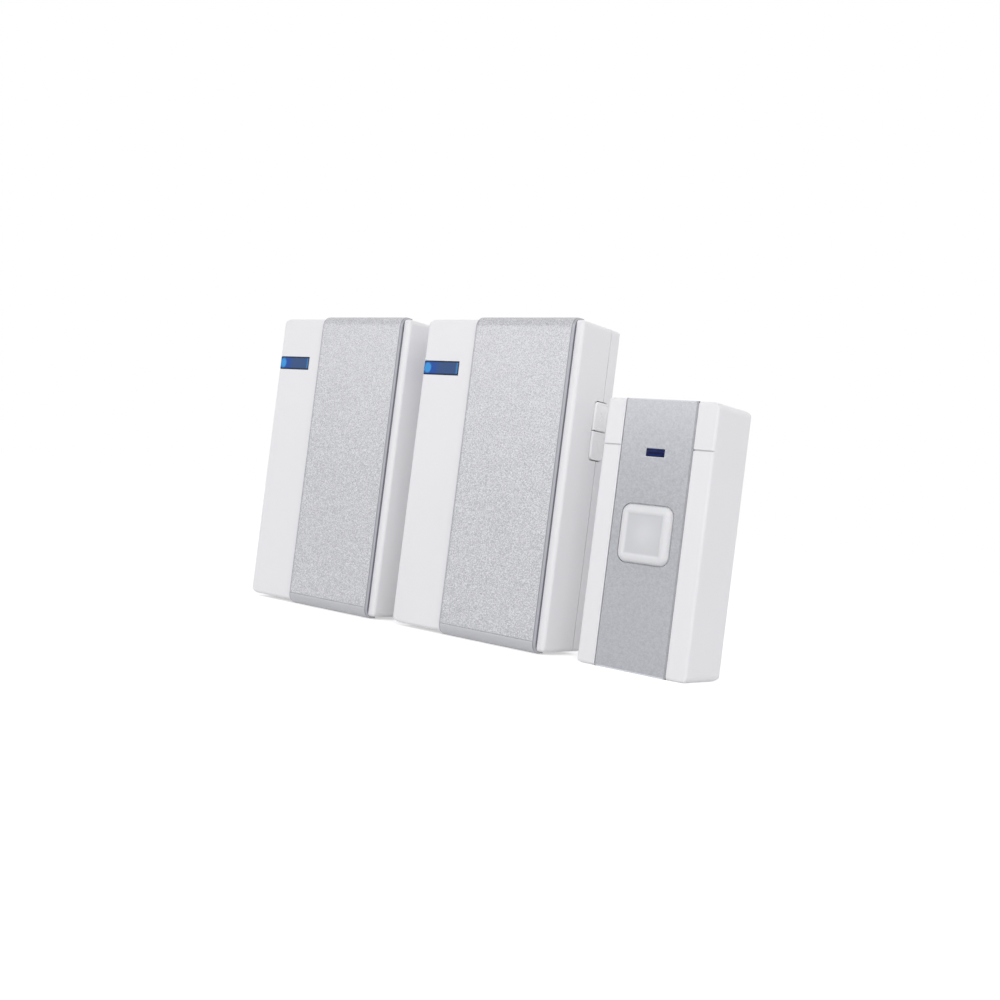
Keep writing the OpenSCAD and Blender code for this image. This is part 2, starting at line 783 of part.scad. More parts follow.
// The lens's front and side legs before they take the casing's outline
module lens_block(grow) {
    height = lens_h + 2 * grow;
    z = lens_z - height / 2;
    translate([-over, -over, z]) cube([lens_w + grow + over, front_wall + over, height]);
    translate([-over, -over, z]) cube([side_wall + over, lens_side + grow + over, height]);
}

module indicator_lens() {
    flange_x = side_wall + lens_fit;
    flange_h = lens_h + 2 * lens_flange_w;
    color(blue) {
        intersection() {
            rounded_box([chime_w, seam_y, chime_h], casing_corners, edge_r, 0, 0);
            lens_block(0);
        }
        translate([flange_x, front_wall, lens_z - flange_h / 2])
            cube([lens_w + lens_flange_w - flange_x, lens_flange_t, flange_h]);
    }
}

module rear_cover() {
    tub = [tub_in_w + 2 * tub_wall, inner_back - tub_front + sink, tub_in_h + 2 * tub_wall];
    ring_d = speaker_d + 2 * speaker_fit;
    color(white) difference() {
        union() {
            translate([0, seam_y, 0]) difference() {
                rounded_box([chime_w, cover_depth, chime_h], casing_corners, 0, back_r, back_end_r);
                translate([side_wall, -over, end_wall])
                    cube([chime_w - 2 * side_wall, cover_depth - back_wall + over, chime_h - 2 * end_wall]);
                seam_groove();
            }
            for (x = [foot_in, chime_w - foot_in - foot_w])
                translate([x, seam_y + foot_back, -panel_lip]) cube([foot_w, foot_d, panel_lip + sink]);
            translate([tub_in_x - tub_wall, tub_front, tub_in_z - tub_wall]) cube(tub);
            translate([chime_w / 2, inner_back + sink, speaker_z]) along_minus_y() difference() {
                cylinder(d = ring_d + 2 * speaker_ring, h = speaker_ring_h + sink);
                cylinder(d = ring_d, h = speaker_ring_h + over);
            }
            for (p = case_screws)
                translate([p.x, seam_y, p.y])
                    along_y() cylinder(d = post_d, h = cover_depth - back_wall + sink);
        }
        translate([tub_in_x, tub_front + tub_wall, tub_in_z]) cube([tub_in_w, chime_d, tub_in_h]);
        translate([cell_x(0), lead_y, tub_in_z + tub_in_h])
            cylinder(d = lead_d + 2 * lead_fit, h = tub_wall + over);
        contact_tab(lead_fit);
        translate([door_x - door_gap, inner_back, door_z - door_gap])
            cube([door_w + 2 * door_gap, back_wall + over, door_top - door_z + 2 * door_gap]);
        for (x = [door_x - door_gap - hinge_pin_len - sink, door_x + door_w + door_gap - sink])
            translate([x, hinge_y, hinge_z])
                along_x() cylinder(d = hinge_pin_d + 2 * hinge_fit, h = hinge_pin_len + 2 * sink);
        for (p = case_screws) {
            translate([p.x, seam_y - over, p.y])
                along_y() cylinder(d = case_screw_d + 2 * screw_fit, h = chime_d);
            translate([p.x, chime_d - case_head_t - case_head_sunk, p.y])
                along_y() cylinder(d = case_head_d + 2 * head_fit, h = chime_d);
        }
        speaker_grille();
        for (x = [keyhole_x, chime_w - keyhole_x])
            translate([x, inner_back - over, chime_h - keyhole_z]) keyhole();
        translate([chime_w - side_wall - over, 0, 0]) right_from_left(side_wall + 2 * over) button_slot();
    }
}

// The fine groove round the rear cover's front edge, with the seam at y = 0
module seam_groove() {
    inner = [chime_w - 2 * seam_groove_deep, chime_h - 2 * seam_groove_deep];
    corner_r = [for (r = casing_corners) r - seam_groove_deep];
    difference() {
        translate([-over, -over, -over])
            cube([chime_w + 2 * over, seam_groove_w + over, chime_h + 2 * over]);
        translate([seam_groove_deep, -2 * over, seam_groove_deep])
            back_from_front(seam_groove_w + 3 * over) rounded_rect(inner, corner_r);
    }
}

// The slots of the speaker grille, cut to a round area
module speaker_grille() {
    reach = floor((grille_d / 2 - grille_w) / grille_step);
    deep = back_wall + 2 * over;
    for (k = [-reach : reach]) {
        half = sqrt(pow(grille_d / 2, 2) - pow(k * grille_step, 2)) - grille_w / 2;
        translate([chime_w / 2 + k * grille_step, inner_back - over, speaker_z]) {
            translate([-grille_w / 2, 0, -half]) cube([grille_w, deep, 2 * half]);
            for (z = [-half, half])
                translate([0, 0, z]) along_y() cylinder(d = grille_w, h = deep);
        }
    }
}

// A keyhole through the back wall, with its slot above its round end
module keyhole() {
    deep = back_wall + 2 * over;
    along_y() cylinder(d = keyhole_d, h = deep);
    translate([-keyhole_slot_w / 2, 0, 0]) cube([keyhole_slot_w, deep, keyhole_slot]);
    translate([0, 0, keyhole_slot]) along_y() cylinder(d = keyhole_slot_w, h = deep);
}

module battery_door() {
    pin_len = door_gap + hinge_pin_len;
    grip_top = door_top - grip_step * 2;
    color(white) difference() {
        union() {
            translate([door_x, chime_d - door_t, hinge_z]) cube([door_w, door_t, door_top - hinge_z]);
            translate([door_x, hinge_y, hinge_z]) along_x() cylinder(d = door_t, h = door_w);
            translate([door_x - pin_len, hinge_y, hinge_z])
                along_x() cylinder(d = hinge_pin_d, h = door_w + 2 * pin_len);
        }
        for (k = [0 : grip_count - 1])
            translate([(chime_w - grip_len) / 2, chime_d - grip_deep, grip_top - k * grip_step])
                cube([grip_len, grip_deep + over, grip_step / 2]);
    }
}

// The x of a cell's middle, and whether its nub points up
function cell_x(k) = tub_in_x + cell_gap + cell_d / 2 + k * cell_pitch;
function nub_up(k) = k % 2 == 0;

module battery_cells() {
    color(dark_blue) for (k = [0 : cell_count - 1]) {
        base = tub_in_z + plate_t;
        translate([cell_x(k), cell_y, base]) {
            if (nub_up(k)) translate([0, 0, spring_len]) cell(cell_d, cell_len);
            else translate([0, 0, plate_fit + nub_h + cell_len]) rotate([180, 0, 0]) cell(cell_d, cell_len);
        }
    }
}

module battery_springs() {
    color(metal) for (k = [0 : cell_count - 1]) {
        z = nub_up(k) ? tub_in_z + plate_t : tub_in_z + tub_in_h - plate_t;
        translate([cell_x(k), cell_y, z])
            rotate([nub_up(k) ? 0 : 180, 0, 0]) wire(battery_coil, spring_wire, [0, 0, 1], coil_sides);
    }
}

// Strips that join neighbouring cells in series: low ones from the first cell, high ones from the second.
// A last strip runs up the outside of the battery box from the last cell's tab.
module contact_plates() {
    color(metal) for (end = [0, 1]) {
        z = tub_in_z + end * (tub_in_h - plate_t);
        for (k = [0 : cell_count - 1]) {
            starts = (k + end) % 2 == 0;
            joined = starts && k + 1 < cell_count;
            if (starts || k == 0)
                translate([cell_x(k) - plate_w / 2, cell_y - plate_w / 2, z])
                    cube([plate_w + (joined ? cell_pitch : 0), plate_w, plate_t]);
        }
    }
    contact_tab(0);
    color(metal) translate([tab_x + tab_out - plate_t, lead_y - tab_w / 2, tab_z])
        cube([plate_t, tab_w, strip_top - tab_z]);
}

// The tab of the last cell's contact, grown by a clearance, through the battery box's right wall
module contact_tab(grow) {
    start = cell_x(cell_count - 1) + plate_w / 2 - sink;
    color(metal) translate([start, lead_y - tab_w / 2 - grow, tab_z - grow])
        cube([tab_x + tab_out - start, tab_w + 2 * grow, plate_t + 2 * grow]);
}

// Points of a quarter turn from the height z up and a short straight end, square on the board's back at x
function turn_to_board(x, z) = let (r = lead_rise - lead_d) concat(
    [for (a = [0 : 18 : 90]) [x, lead_y - r + r * cos(a), z + r * sin(a)]],
    [[x, board_back, z + r]]
);

// A lead from the first cell's high contact and one from the last contact's strip, both to the board
function high_lead() = concat(
    [[cell_x(0), lead_y, tub_in_z + tub_in_h]],
    turn_to_board(cell_x(0), board_z + lead_d)
);
function strip_lead() = let (x = tab_x + tab_out - plate_t / 2) concat(
    [[x, lead_y, strip_top], [x, lead_y, tub_top + lead_d / 2]],
    turn_to_board(tab_x - lead_d / 2, tub_top + 2.5 * lead_d)
);

// A lead from the board to the middle of the speaker frame's slope, at x
function speaker_lead(x) = let (
    slope = [speaker_rim - speaker_base_d / 2, speaker_deep - speaker_t],
    middle = [(speaker_rim + speaker_base_d / 2) / 2, (speaker_t + speaker_deep) / 2],
    out = unit([slope.y, slope.x]),
    near = [for (gap = [lead_gap, lead_gap + lead_d, lead_gap + 2 * lead_d]) middle + gap * out],
    top = inner_back - board_back,
    far = near[2].x + lead_d / 2,
    route = concat(near, [[far, (near[2].y + top) / 2], [far, top]])
) [for (p = route) [x, inner_back - p.y, speaker_z + p.x]];

module wiring() {
    middle = chime_w / 2;
    color(black) {
        for (path = [high_lead(), strip_lead()]) wire(path, lead_d, [1, 0, 0], lead_sides);
        for (x = [middle - lead_side, middle + lead_side])
            wire(speaker_lead(x), lead_d, [1, 0, 0], lead_sides);
    }
}

module circuit_board() {
    color(board_green) difference() {
        translate([board_x, board_front, board_z]) cube([board_w, board_t, board_h]);
        for (p = case_screws)
            translate([p.x, board_front - over, p.y])
                along_y() cylinder(d = post_d + 2 * board_gap, h = board_t + 2 * over);
        for (p = board_screws)
            translate([p.x, board_front - over, p.y])
                along_y() cylinder(d = board_screw_d + 2 * screw_fit, h = board_t + 2 * over);
    }
}

// A chip with legs along its two long sides, on a board's back at x and z
module chip(x, z) {
    leg = [chip_w / 10, chip_t / 3, leg_out + sink];
    translate([x, 0, z]) cube([chip_w, chip_t, chip_d]);
    for (k = [1 : chip_legs], foot = [z - leg_out, z + chip_d - sink])
        translate([x + k * chip_w / (chip_legs + 1) - leg.x / 2, 0, foot]) cube(leg);
}

// A can capacitor that stands on a board's back
module can(x, z) {
    translate([x, 0, z]) along_y() cylinder(d = can_d, h = can_h);
}

// A crystal that stands on a board's back
module crystal(x, z) {
    translate([x, 0, z]) cube([crystal_w, crystal_t, crystal_d]);
}

module board_parts() {
    top = board_z + board_h - part_in - leg_out - chip_d;
    right = board_x + board_w - 3 * board_screw_in;
    color(black) translate([0, board_back, 0]) {
        chip(cell_x(0) - 2 * lead_d - chip_w, board_z + part_in);
        chip(right - chip_w, top);
        chip(board_x + 4 * board_screw_in, top);
        can(board_x + board_screw_in, board_z + 2 * board_screw_in + can_d / 2);
        crystal(tab_x - 3 * board_screw_in - crystal_w, board_z + part_in);
    }
}

module board_screw_group() {
    color(metal) for (p = board_screws)
        translate([p.x, board_back, p.y])
            screw(board_screw_d, board_screw_len, board_head_d, board_head_t);
}

module case_screw_group() {
    color(metal) for (p = case_screws)
        translate([p.x, chime_d - case_head_t - case_head_sunk, p.y])
            screw(case_screw_d, case_screw_len, case_head_d, case_head_t);
}

// Places a speaker piece on the back wall's inner face, with its axis forward
module on_back_wall() {
    translate([chime_w / 2, inner_back, speaker_z]) along_minus_y() children();
}

module speaker_frame() {
    r = speaker_d / 2;
    base = speaker_base_d / 2;
    floor_y = speaker_deep - speaker_t;
    color(black) on_back_wall() rotate_extrude() polygon([
        [speaker_rim, 0], [r, 0], [r, speaker_t], [speaker_rim, speaker_t],
        [base, speaker_deep], [0, speaker_deep], [0, floor_y], [base - speaker_t, floor_y],
        [speaker_rim - speaker_t, speaker_t]
    ]);
}

module speaker_magnet() {
    color(metal) on_back_wall() translate([0, 0, speaker_deep]) cylinder(d = magnet_d, h = magnet_t);
}

// A shallow cone with a flat cap, hung inside the frame's rim
module speaker_cone() {
    rim = speaker_rim - speaker_t - speaker_fit;
    cap = cone_cap_d / 2;
    fall = speaker_deep - 2 * speaker_t - 2 * cone_t - speaker_fit;
    color(black) on_back_wall() translate([0, 0, speaker_t / 2]) rotate_extrude() polygon([
        [rim, 0], [cap, fall], [0, fall], [0, fall + cone_t], [cap + cone_t, fall + cone_t], [rim, cone_t]
    ]);
}

// An LED that stands on a board's front face and points along -Y, of the given length
module led(diameter, length) {
    along_minus_y() {
        cylinder(d = diameter + 2 * led_collar_w, h = led_collar_t);
        cylinder(d = diameter, h = length - diameter / 2);
        translate([0, 0, length - diameter / 2]) sphere(d = diameter);
    }
}

module indicator_led() {
    color(blue) translate([led_x, board_front, lens_z])
        led(led_d, board_front - front_wall - lens_flange_t - led_gap);
}

// A side button: 0 is the lower one and 1 the upper one
module side_button(k) {
    r = [k == 0 ? button_r : 0, k == 0 ? button_r : 0, k == 1 ? button_r : 0, k == 1 ? button_r : 0];
    flange_low = button_low[k] - (k == 0 ? button_flange_w : 0);
    front = button_y - button_d / 2;
    flange_d = button_flange_w + button_d + button_fit;
    color(white) {
        translate([button_inner, front, button_low[k]])
            right_from_left(chime_w + button_proud - button_inner) rounded_rect([button_d, button_h], r);
        translate([button_inner, front - button_flange_w, flange_low])
            cube([button_flange_t, flange_d, button_h + button_flange_w]);
    }
}

module switch_bodies() {
    hole = stem_in + button_travel + sink;
    color(black) for (low = button_low) {
        z = low + button_h / 2;
        difference() {
            translate([switch_x - switch_t, board_back, z - switch_w / 2])
                cube([switch_t, switch_rise, switch_w]);
            translate([switch_x - hole, button_y, z])
                along_x() cylinder(d = stem_d + 2 * stem_fit, h = hole + over);
        }
    }
}

module side_stem(k) {
    color(white) translate([switch_x - stem_in, button_y, button_low[k] + button_h / 2])
        along_x() cylinder(d = stem_d, h = stem_in + stem_out);
}

// The coil lies along X in front of the board and its first turn runs straight back to the board
module antenna_coil() {
    r = antenna_d / 2;
    start = [board_x + 6 * board_screw_in, board_front - r - antenna_wire, lens_z];
    turns = [for (p = antenna_turn_coil) start + [p.z, -p.y, p.x]];
    lead = [start.x, board_front, start.z + r];
    color(copper) wire(concat([lead], turns), antenna_wire, [1, 0, 0], coil_sides);
}

module push_cover() {
    size = [push_w, push_d, push_h];
    post_len = push_board_y - push_front_wall + sink;
    color(white) difference() {
        union() {
            difference() {
                rounded_box(size, four(push_corner_r), push_edge_r, push_back_side_r, push_back_end_r);
                translate([push_side_wall, push_front_wall, push_end_wall])
                    cube([push_w - 2 * push_side_wall, push_d, push_h - 2 * push_end_wall]);
            }
            for (p = push_screws)
                translate([p.x, push_front_wall - sink, p.y])
                    along_y() cylinder(d = board_post_d, h = post_len);
            for (x = [push_side_wall - sink, push_w - push_side_wall - corner_post],
                 z = [push_end_wall - sink, push_h - push_end_wall - corner_post])
                translate([x, push_front_wall - sink, z])
                    cube([corner_post + sink, push_plate_y - push_front_wall + sink, corner_post + sink]);
        }
        translate([push_panel_x - panel_fit, -over, -over])
            cube([push_panel_w + 2 * panel_fit, push_panel_seat + over, push_h + 2 * over]);
        key_outline_cut();
        lens_outline_cut();
        for (x = [-over, push_panel_x + push_panel_w])
            translate([x, -over, groove_z - groove_w / 2])
                cube([push_panel_x + over, groove_deep + over, groove_w]);
        for (p = push_screws)
            translate([p.x, push_board_y + over, p.y])
                along_minus_y() cylinder(d = board_screw_d + 2 * screw_fit, h = board_screw_len + over);
    }
}

// The key's opening through the panel and the front wall
module key_outline_cut() {
    w = key_w + 2 * key_fit;
    r = key_r + key_fit;
    translate([(push_w - w) / 2, -push_panel_proud - over, key_z - w / 2])
        back_from_front(push_front_wall + push_panel_proud + 2 * over) rounded_rect([w, w], [r, r, r, r]);
}

// The lens's opening through the panel and the front wall
module lens_outline_cut() {
    w = push_lens_w + 2 * lens_fit;
    h = push_lens_h + 2 * lens_fit;
    translate([(push_w - w) / 2, -push_panel_proud - over, push_lens_z - h / 2])
        cube([w, push_front_wall + push_panel_proud + 2 * over, h]);
}

module push_panel() {
    depth = push_panel_proud + push_panel_seat;
    bevel = push_panel_bevel;
    color(silver) translate([push_panel_x, -push_panel_proud, 0]) difference() {
        intersection() {
            linear_extrude(push_h) polygon([
                [bevel, 0], [push_panel_w - bevel, 0], [push_panel_w, bevel], [push_panel_w, depth],
                [0, depth], [0, bevel]
            ]);
            right_from_left(push_panel_w) polygon([
                [0, bevel], [bevel, 0], [depth, 0], [depth, push_h], [bevel, push_h], [0, push_h - bevel]
            ]);
        }
        translate([-push_panel_x, push_panel_proud, 0]) {
            key_outline_cut();
            lens_outline_cut();
        }
    }
}

module push_key() {
    deep = key_back - key_face;
    flange = key_w + 2 * key_flange_w;
    inner = key_w - 2 * key_wall;
    color(white) translate([push_w / 2, 0, key_z]) {
        difference() {
            union() {
                translate([-key_w / 2, key_face, -key_w / 2])
                    rounded_box([key_w, deep, key_w], four(key_r), key_rim_r, 0, 0);
                translate([-flange / 2, push_front_wall + key_stop, -flange / 2])
                    cube([flange, key_flange_t, flange]);
            }
            translate([-key_dish_w / 2, key_face - over, -key_dish_w / 2])
                back_from_front(key_dish + over)
                    rounded_rect([key_dish_w, key_dish_w], [key_dish_r, key_dish_r, key_dish_r, key_dish_r]);
            translate([-inner / 2, key_face + key_dish + key_wall, -inner / 2]) cube([inner, deep, inner]);
        }
        translate([0, key_face + key_dish + key_wall - sink, 0])
            along_y() cylinder(d = key_post_d, h = deep - key_dish - key_wall + sink);
    }
}

module push_lens() {
    front = -push_panel_proud - push_lens_proud;
    flange = [push_lens_w + 2 * lens_flange_w, lens_flange_t, push_lens_h + 2 * lens_flange_w];
    color(dark_blue) translate([push_w / 2, 0, push_lens_z]) {
        translate([-push_lens_w / 2, front, -push_lens_h / 2])
            cube([push_lens_w, push_front_wall + lens_flange_t - front, push_lens_h]);
        translate([-flange.x / 2, push_front_wall, -flange.z / 2]) cube(flange);
    }
}

module push_back_plate() {
    x = push_side_wall + push_plate_fit;
    z0 = push_end_wall + push_plate_fit;
    color(white) difference() {
        translate([x, push_plate_y, z0]) cube([push_w - 2 * x, push_plate_t, push_h - 2 * z0]);
        for (z = wall_holes)
            translate([push_w / 2, push_plate_y - over, z])
                along_y() cylinder(d = wall_hole_d, h = push_plate_t + 2 * over);
    }
}

module push_circuit_board() {
    color(board_green) difference() {
        translate([push_board_x, push_board_y, push_board_z]) cube([push_board_w, board_t, push_board_h]);
        for (p = push_screws)
            translate([p.x, push_board_y - over, p.y])
                along_y() cylinder(d = board_screw_d + 2 * screw_fit, h = board_t + 2 * over);
    }
}

module push_switch_body() {
    hole = push_stem_in + key_travel + sink;
    front = push_board_y - push_switch_h;
    color(black) difference() {
        translate([(push_w - push_switch_w) / 2, front, key_z - push_switch_w / 2])
            cube([push_switch_w, push_switch_h, push_switch_w]);
        translate([push_w / 2, front - over, key_z])
            along_y() cylinder(d = push_stem_d + 2 * stem_fit, h = hole + over);
    }
}

module push_switch_stem() {
    color(black) translate([push_w / 2, key_back + stem_gap, key_z])
        along_y() cylinder(d = push_stem_d, h = push_stem_out + push_stem_in);
}

module push_led() {
    color(blue) translate([push_w / 2, push_board_y, push_lens_z])
        led(push_led_d, push_board_y - push_front_wall - lens_flange_t - led_gap);
}

module push_battery() {
    color(metal) translate([push_w / 2, push_cell_y, push_cell_base]) cell(push_cell_d, push_cell_len);
}

module push_battery_spring() {
    color(metal) translate([push_w / 2, push_cell_y, push_cell_z + plate_t])
        wire(push_coil, spring_wire, [0, 0, 1], coil_sides);
}

// A standing contact at each end of the battery, on the board's back
module push_battery_contacts() {
    tall = push_cell_gap + push_cell_d;
    color(metal) for (z = [push_cell_z, push_cell_top + plate_fit])
        translate([(push_w - push_contact_w) / 2, push_board_back, z])
            cube([push_contact_w, tall, plate_t]);
}

module push_board_parts() {
    right = push_board_x + push_board_w - part_in;
    color(black) translate([0, push_board_back, 0]) {
        chip(push_board_x + part_in, push_cell_z + part_step / 2);
        can(right - can_d / 2, push_cell_z + part_step);
        crystal(right - crystal_w, push_cell_z + 2 * part_step);
    }
}

module push_board_screws() {
    color(metal) for (p = push_screws)
        translate([p.x, push_board_back, p.y])
            screw(board_screw_d, board_screw_len, board_head_d, board_head_t);
}

// Whether a piece of a chime or of the push-button unit is drawn
function in_chime(chime, piece) = node == "all" || node == str(chime, piece);
function in_push(piece) = node == "all" || node == str("push_", piece);

for (k = [0, 1]) translate([k * (chime_w + chime_gap) - row_w / 2, row_y, panel_lip]) {
    if (in_chime(CHIMES[k], "front_shell")) front_shell();
    if (in_chime(CHIMES[k], "front_panel")) front_panel();
    if (in_chime(CHIMES[k], "indicator_lens")) indicator_lens();
    if (in_chime(CHIMES[k], "rear_cover")) rear_cover();
    if (in_chime(CHIMES[k], "battery_door")) battery_door();
    if (in_chime(CHIMES[k], "battery_cells")) battery_cells();
    if (in_chime(CHIMES[k], "battery_springs")) battery_springs();
    if (in_chime(CHIMES[k], "contact_plates")) contact_plates();
    if (in_chime(CHIMES[k], "circuit_board")) circuit_board();
    if (in_chime(CHIMES[k], "board_parts")) board_parts();
    if (in_chime(CHIMES[k], "board_screws")) board_screw_group();
    if (in_chime(CHIMES[k], "case_screws")) case_screw_group();
    if (in_chime(CHIMES[k], "speaker_frame")) speaker_frame();
    if (in_chime(CHIMES[k], "speaker_magnet")) speaker_magnet();
    if (in_chime(CHIMES[k], "speaker_cone")) speaker_cone();
    if (in_chime(CHIMES[k], "indicator_led")) indicator_led();
    if (in_chime(CHIMES[k], "melody_button")) side_button(1);
    if (in_chime(CHIMES[k], "volume_button")) side_button(0);
    if (in_chime(CHIMES[k], "switch_bodies")) switch_bodies();
    if (in_chime(CHIMES[k], "melody_stem")) side_stem(1);
    if (in_chime(CHIMES[k], "volume_stem")) side_stem(0);
    if (in_chime(CHIMES[k], "antenna_coil")) antenna_coil();
    if (in_chime(CHIMES[k], "wiring")) wiring();
}

translate([row_w / 2 - push_w, row_y + push_setback, 0]) {
    if (in_push("cover")) push_cover();
    if (in_push("panel")) push_panel();
    if (in_push("key")) push_key();
    if (in_push("lens")) push_lens();
    if (in_push("back_plate")) push_back_plate();
    if (in_push("circuit_board")) push_circuit_board();
    if (in_push("switch_body")) push_switch_body();
    if (in_push("switch_stem")) push_switch_stem();
    if (in_push("led")) push_led();
    if (in_push("battery")) push_battery();
    if (in_push("battery_spring")) push_battery_spring();
    if (in_push("battery_contacts")) push_battery_contacts();
    if (in_push("board_parts")) push_board_parts();
    if (in_push("board_screws")) push_board_screws();
}
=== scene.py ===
"""Dresses a wireless doorbell set, two battery chimes and one push-button unit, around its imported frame.

Every piece is worked out in metres in the frame's own axes: fronts face -Y, X runs along the row
and Z is up.
"""

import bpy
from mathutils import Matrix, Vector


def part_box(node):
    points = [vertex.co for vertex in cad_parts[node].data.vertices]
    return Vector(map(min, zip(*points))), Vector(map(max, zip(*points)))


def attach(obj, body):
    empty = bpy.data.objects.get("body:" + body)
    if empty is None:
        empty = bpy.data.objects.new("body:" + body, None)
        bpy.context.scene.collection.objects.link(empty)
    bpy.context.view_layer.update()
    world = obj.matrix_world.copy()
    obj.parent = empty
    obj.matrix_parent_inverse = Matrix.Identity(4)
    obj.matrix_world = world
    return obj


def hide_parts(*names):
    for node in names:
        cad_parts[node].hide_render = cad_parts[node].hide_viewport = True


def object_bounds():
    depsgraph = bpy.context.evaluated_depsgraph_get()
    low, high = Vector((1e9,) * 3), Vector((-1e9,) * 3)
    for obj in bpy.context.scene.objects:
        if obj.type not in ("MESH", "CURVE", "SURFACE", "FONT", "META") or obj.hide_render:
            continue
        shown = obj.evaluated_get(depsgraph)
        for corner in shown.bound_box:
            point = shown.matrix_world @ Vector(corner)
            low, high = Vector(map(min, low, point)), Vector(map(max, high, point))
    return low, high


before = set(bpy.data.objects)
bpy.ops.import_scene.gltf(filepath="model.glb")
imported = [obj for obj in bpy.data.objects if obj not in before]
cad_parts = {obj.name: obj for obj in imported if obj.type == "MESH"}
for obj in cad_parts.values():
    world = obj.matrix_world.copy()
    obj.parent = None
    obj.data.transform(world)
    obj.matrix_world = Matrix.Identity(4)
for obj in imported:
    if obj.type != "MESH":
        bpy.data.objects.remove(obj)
CAD_BOX = [list(corner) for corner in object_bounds()]

import math

import bmesh
import bpy
import numpy as np
from bpy.props import FloatProperty, FloatVectorProperty, IntProperty, PointerProperty
from mathutils import Vector

bl_info = {
    "name": "Wireless doorbell set",
    "version": (1, 0, 0),
    "blender": (4, 5, 0),
    "location": "3D View > Sidebar > Doorbell",
    "description": "Builds the looks of two chimes and a push-button unit",
    "category": "Object",
}

MM = 0.001
SIDES = ("left", "right")
MERGE = 1e-6
BAND_START = 0.72


def length(name, description, millimetres):
    """A length property whose default is given in millimetres."""
    return FloatProperty(
        name=name, description=description, default=millimetres * MM, unit="LENGTH", precision=5)


def share(name, description, value):
    """A property between 0 and 1."""
    return FloatProperty(
        name=name, description=description, default=value, min=0.0, max=1.0, subtype="FACTOR")


def colour(name, description, value):
    """A linear colour property."""
    return FloatVectorProperty(
        name=name, description=description, default=value, min=0.0, max=1.0, subtype="COLOR")


def turns(name, description, value):
    """A number of turns of wire."""
    return IntProperty(name=name, description=description, default=value, min=2, max=12)


def power(name, description, watts):
    """A lamp's power in watts."""
    return FloatProperty(name=name, description=description, default=watts, min=0.0, unit="POWER")


class CasingSettings(bpy.types.PropertyGroup):
    """Finish of the white plastic casings"""
    white: colour("White", "Colour of the casings", (0.872, 0.868, 0.876))
    roughness: share("Roughness", "Roughness of the casings", 0.36)
    texture: length("Texture", "Size of the mould texture's grains", 0.35)


class ChimePanelSettings(bpy.types.PropertyGroup):
    """Shape and finish of the chimes' silver panels"""
    turn: length("Turn", "Radius over which a panel turns onto the top and the bottom", 3.7)
    thickness: length("Thickness", "Thickness of a panel", 1.6)
    left_round: length("Left round", "Radius of the left edge", 0.35)
    bevel: length("Bevel", "Width and depth of the step down to the right ledge", 0.25)
    ledge: length("Ledge", "Width of the right ledge", 0.9)
    groove: length("Groove", "Width of the groove that ends the grain at the bottom", 0.3)
    groove_deep: length("Groove depth", "Depth of that groove", 0.12)
    grain_step: length("Grain step", "Spacing of the points that carry the grain", 0.25)
    grain_wave: length("Grain wave", "Spacing of the grain's ridges", 0.85)
    grain_high: length("Grain height", "Height of the grain's ridges", 0.025)
    flake: length("Flake", "Size of the paint's flakes", 0.24)
    silver: colour("Silver", "Colour of the panels", (0.56, 0.563, 0.58))
    roughness: share("Roughness", "Roughness of the panels", 0.38)
    metallic: share("Metallic", "How metallic the paint is", 0.45)


class ChimeLensSettings(bpy.types.PropertyGroup):
    """Shape and finish of the chimes' blue lenses"""
    corner: length("Corner", "Radius of the casing's corner that the lens follows", 1.2)
    thickness: length("Thickness", "Thickness of a lens", 1.8)
    edge: length("Edge", "Radius of a lens's edges", 0.2)
    flange: length("Flange", "Width of the flange behind a lens", 1.0)
    flange_thick: length("Flange thickness", "Thickness of that flange", 0.8)
    spot: length("Spot", "Distance of the lit spot's middle from the left side", 2.3)
    spot_size: length("Spot size", "Half width of the lit spot", 1.6)
    # The lit spot is painted light.
    lit: colour("Lit", "Colour of the lit spot", (0.05, 0.33, 0.74))
    near: colour("Near", "Colour beside the spot", (0.015, 0.085, 0.40))
    far: colour("Far", "Colour at the far end", (0.045, 0.095, 0.22))


class SideButtonSettings(bpy.types.PropertyGroup):
    """Shape and finish of the chimes' side buttons"""
    corner: length("Corner", "Radius of the outer corners", 1.5)
    split_corner: length("Split corner", "Radius of the corners at the split", 0.25)
    edge: length("Edge", "Radius of the face's edge", 0.55)
    flange: length("Flange", "Thickness of the flange that keeps a button in", 0.9)
    flange_wide: length("Flange width", "Width of that flange", 0.8)
    fit: length("Fit", "Clearance of a button in its slot", 0.25)
    gap: length("Gap", "Further gap at the slot's ends, taken from the split", 0.08)
    crown: length("Crown", "Height of the face's crown", 0.1)
    mark: length("Mark", "Half height of the sunk marks", 1.3)
    mark_wide: length("Mark width", "Half width of a mark's stroke", 0.3)
    mark_deep: length("Mark depth", "Depth of the marks below the face", 0.16)
    # Lighter than the casings' white: painted light for the extra light on the buttons' faces.
    white: colour("White", "Colour of the buttons", (0.94, 0.94, 0.945))


class PushPanelSettings(bpy.types.PropertyGroup):
    """Shape and finish of the push-button unit's silver panel"""
    bevel: length("Bevel", "Bevel round the panel", 0.5)
    rim: length("Rim", "Rounding of the openings' edges", 0.1)
    key_fit: length("Key fit", "Clearance round the key", 0.2)
    lens_fit: length("Lens fit", "Clearance round the lens", 0.1)
    margin: length("Margin", "Height of panel kept beside an opening", 1.5)
    silver: colour("Silver", "Colour of the panel", (0.428, 0.436, 0.458))
    roughness: share("Roughness", "Roughness of the panel", 0.24)
    metallic: share("Metallic", "How metallic the paint is", 0.6)
    grain: length("Grain", "Size of the paint's blotches", 1.2)
    flake: length("Flake", "Size of the paint's flakes", 0.4)


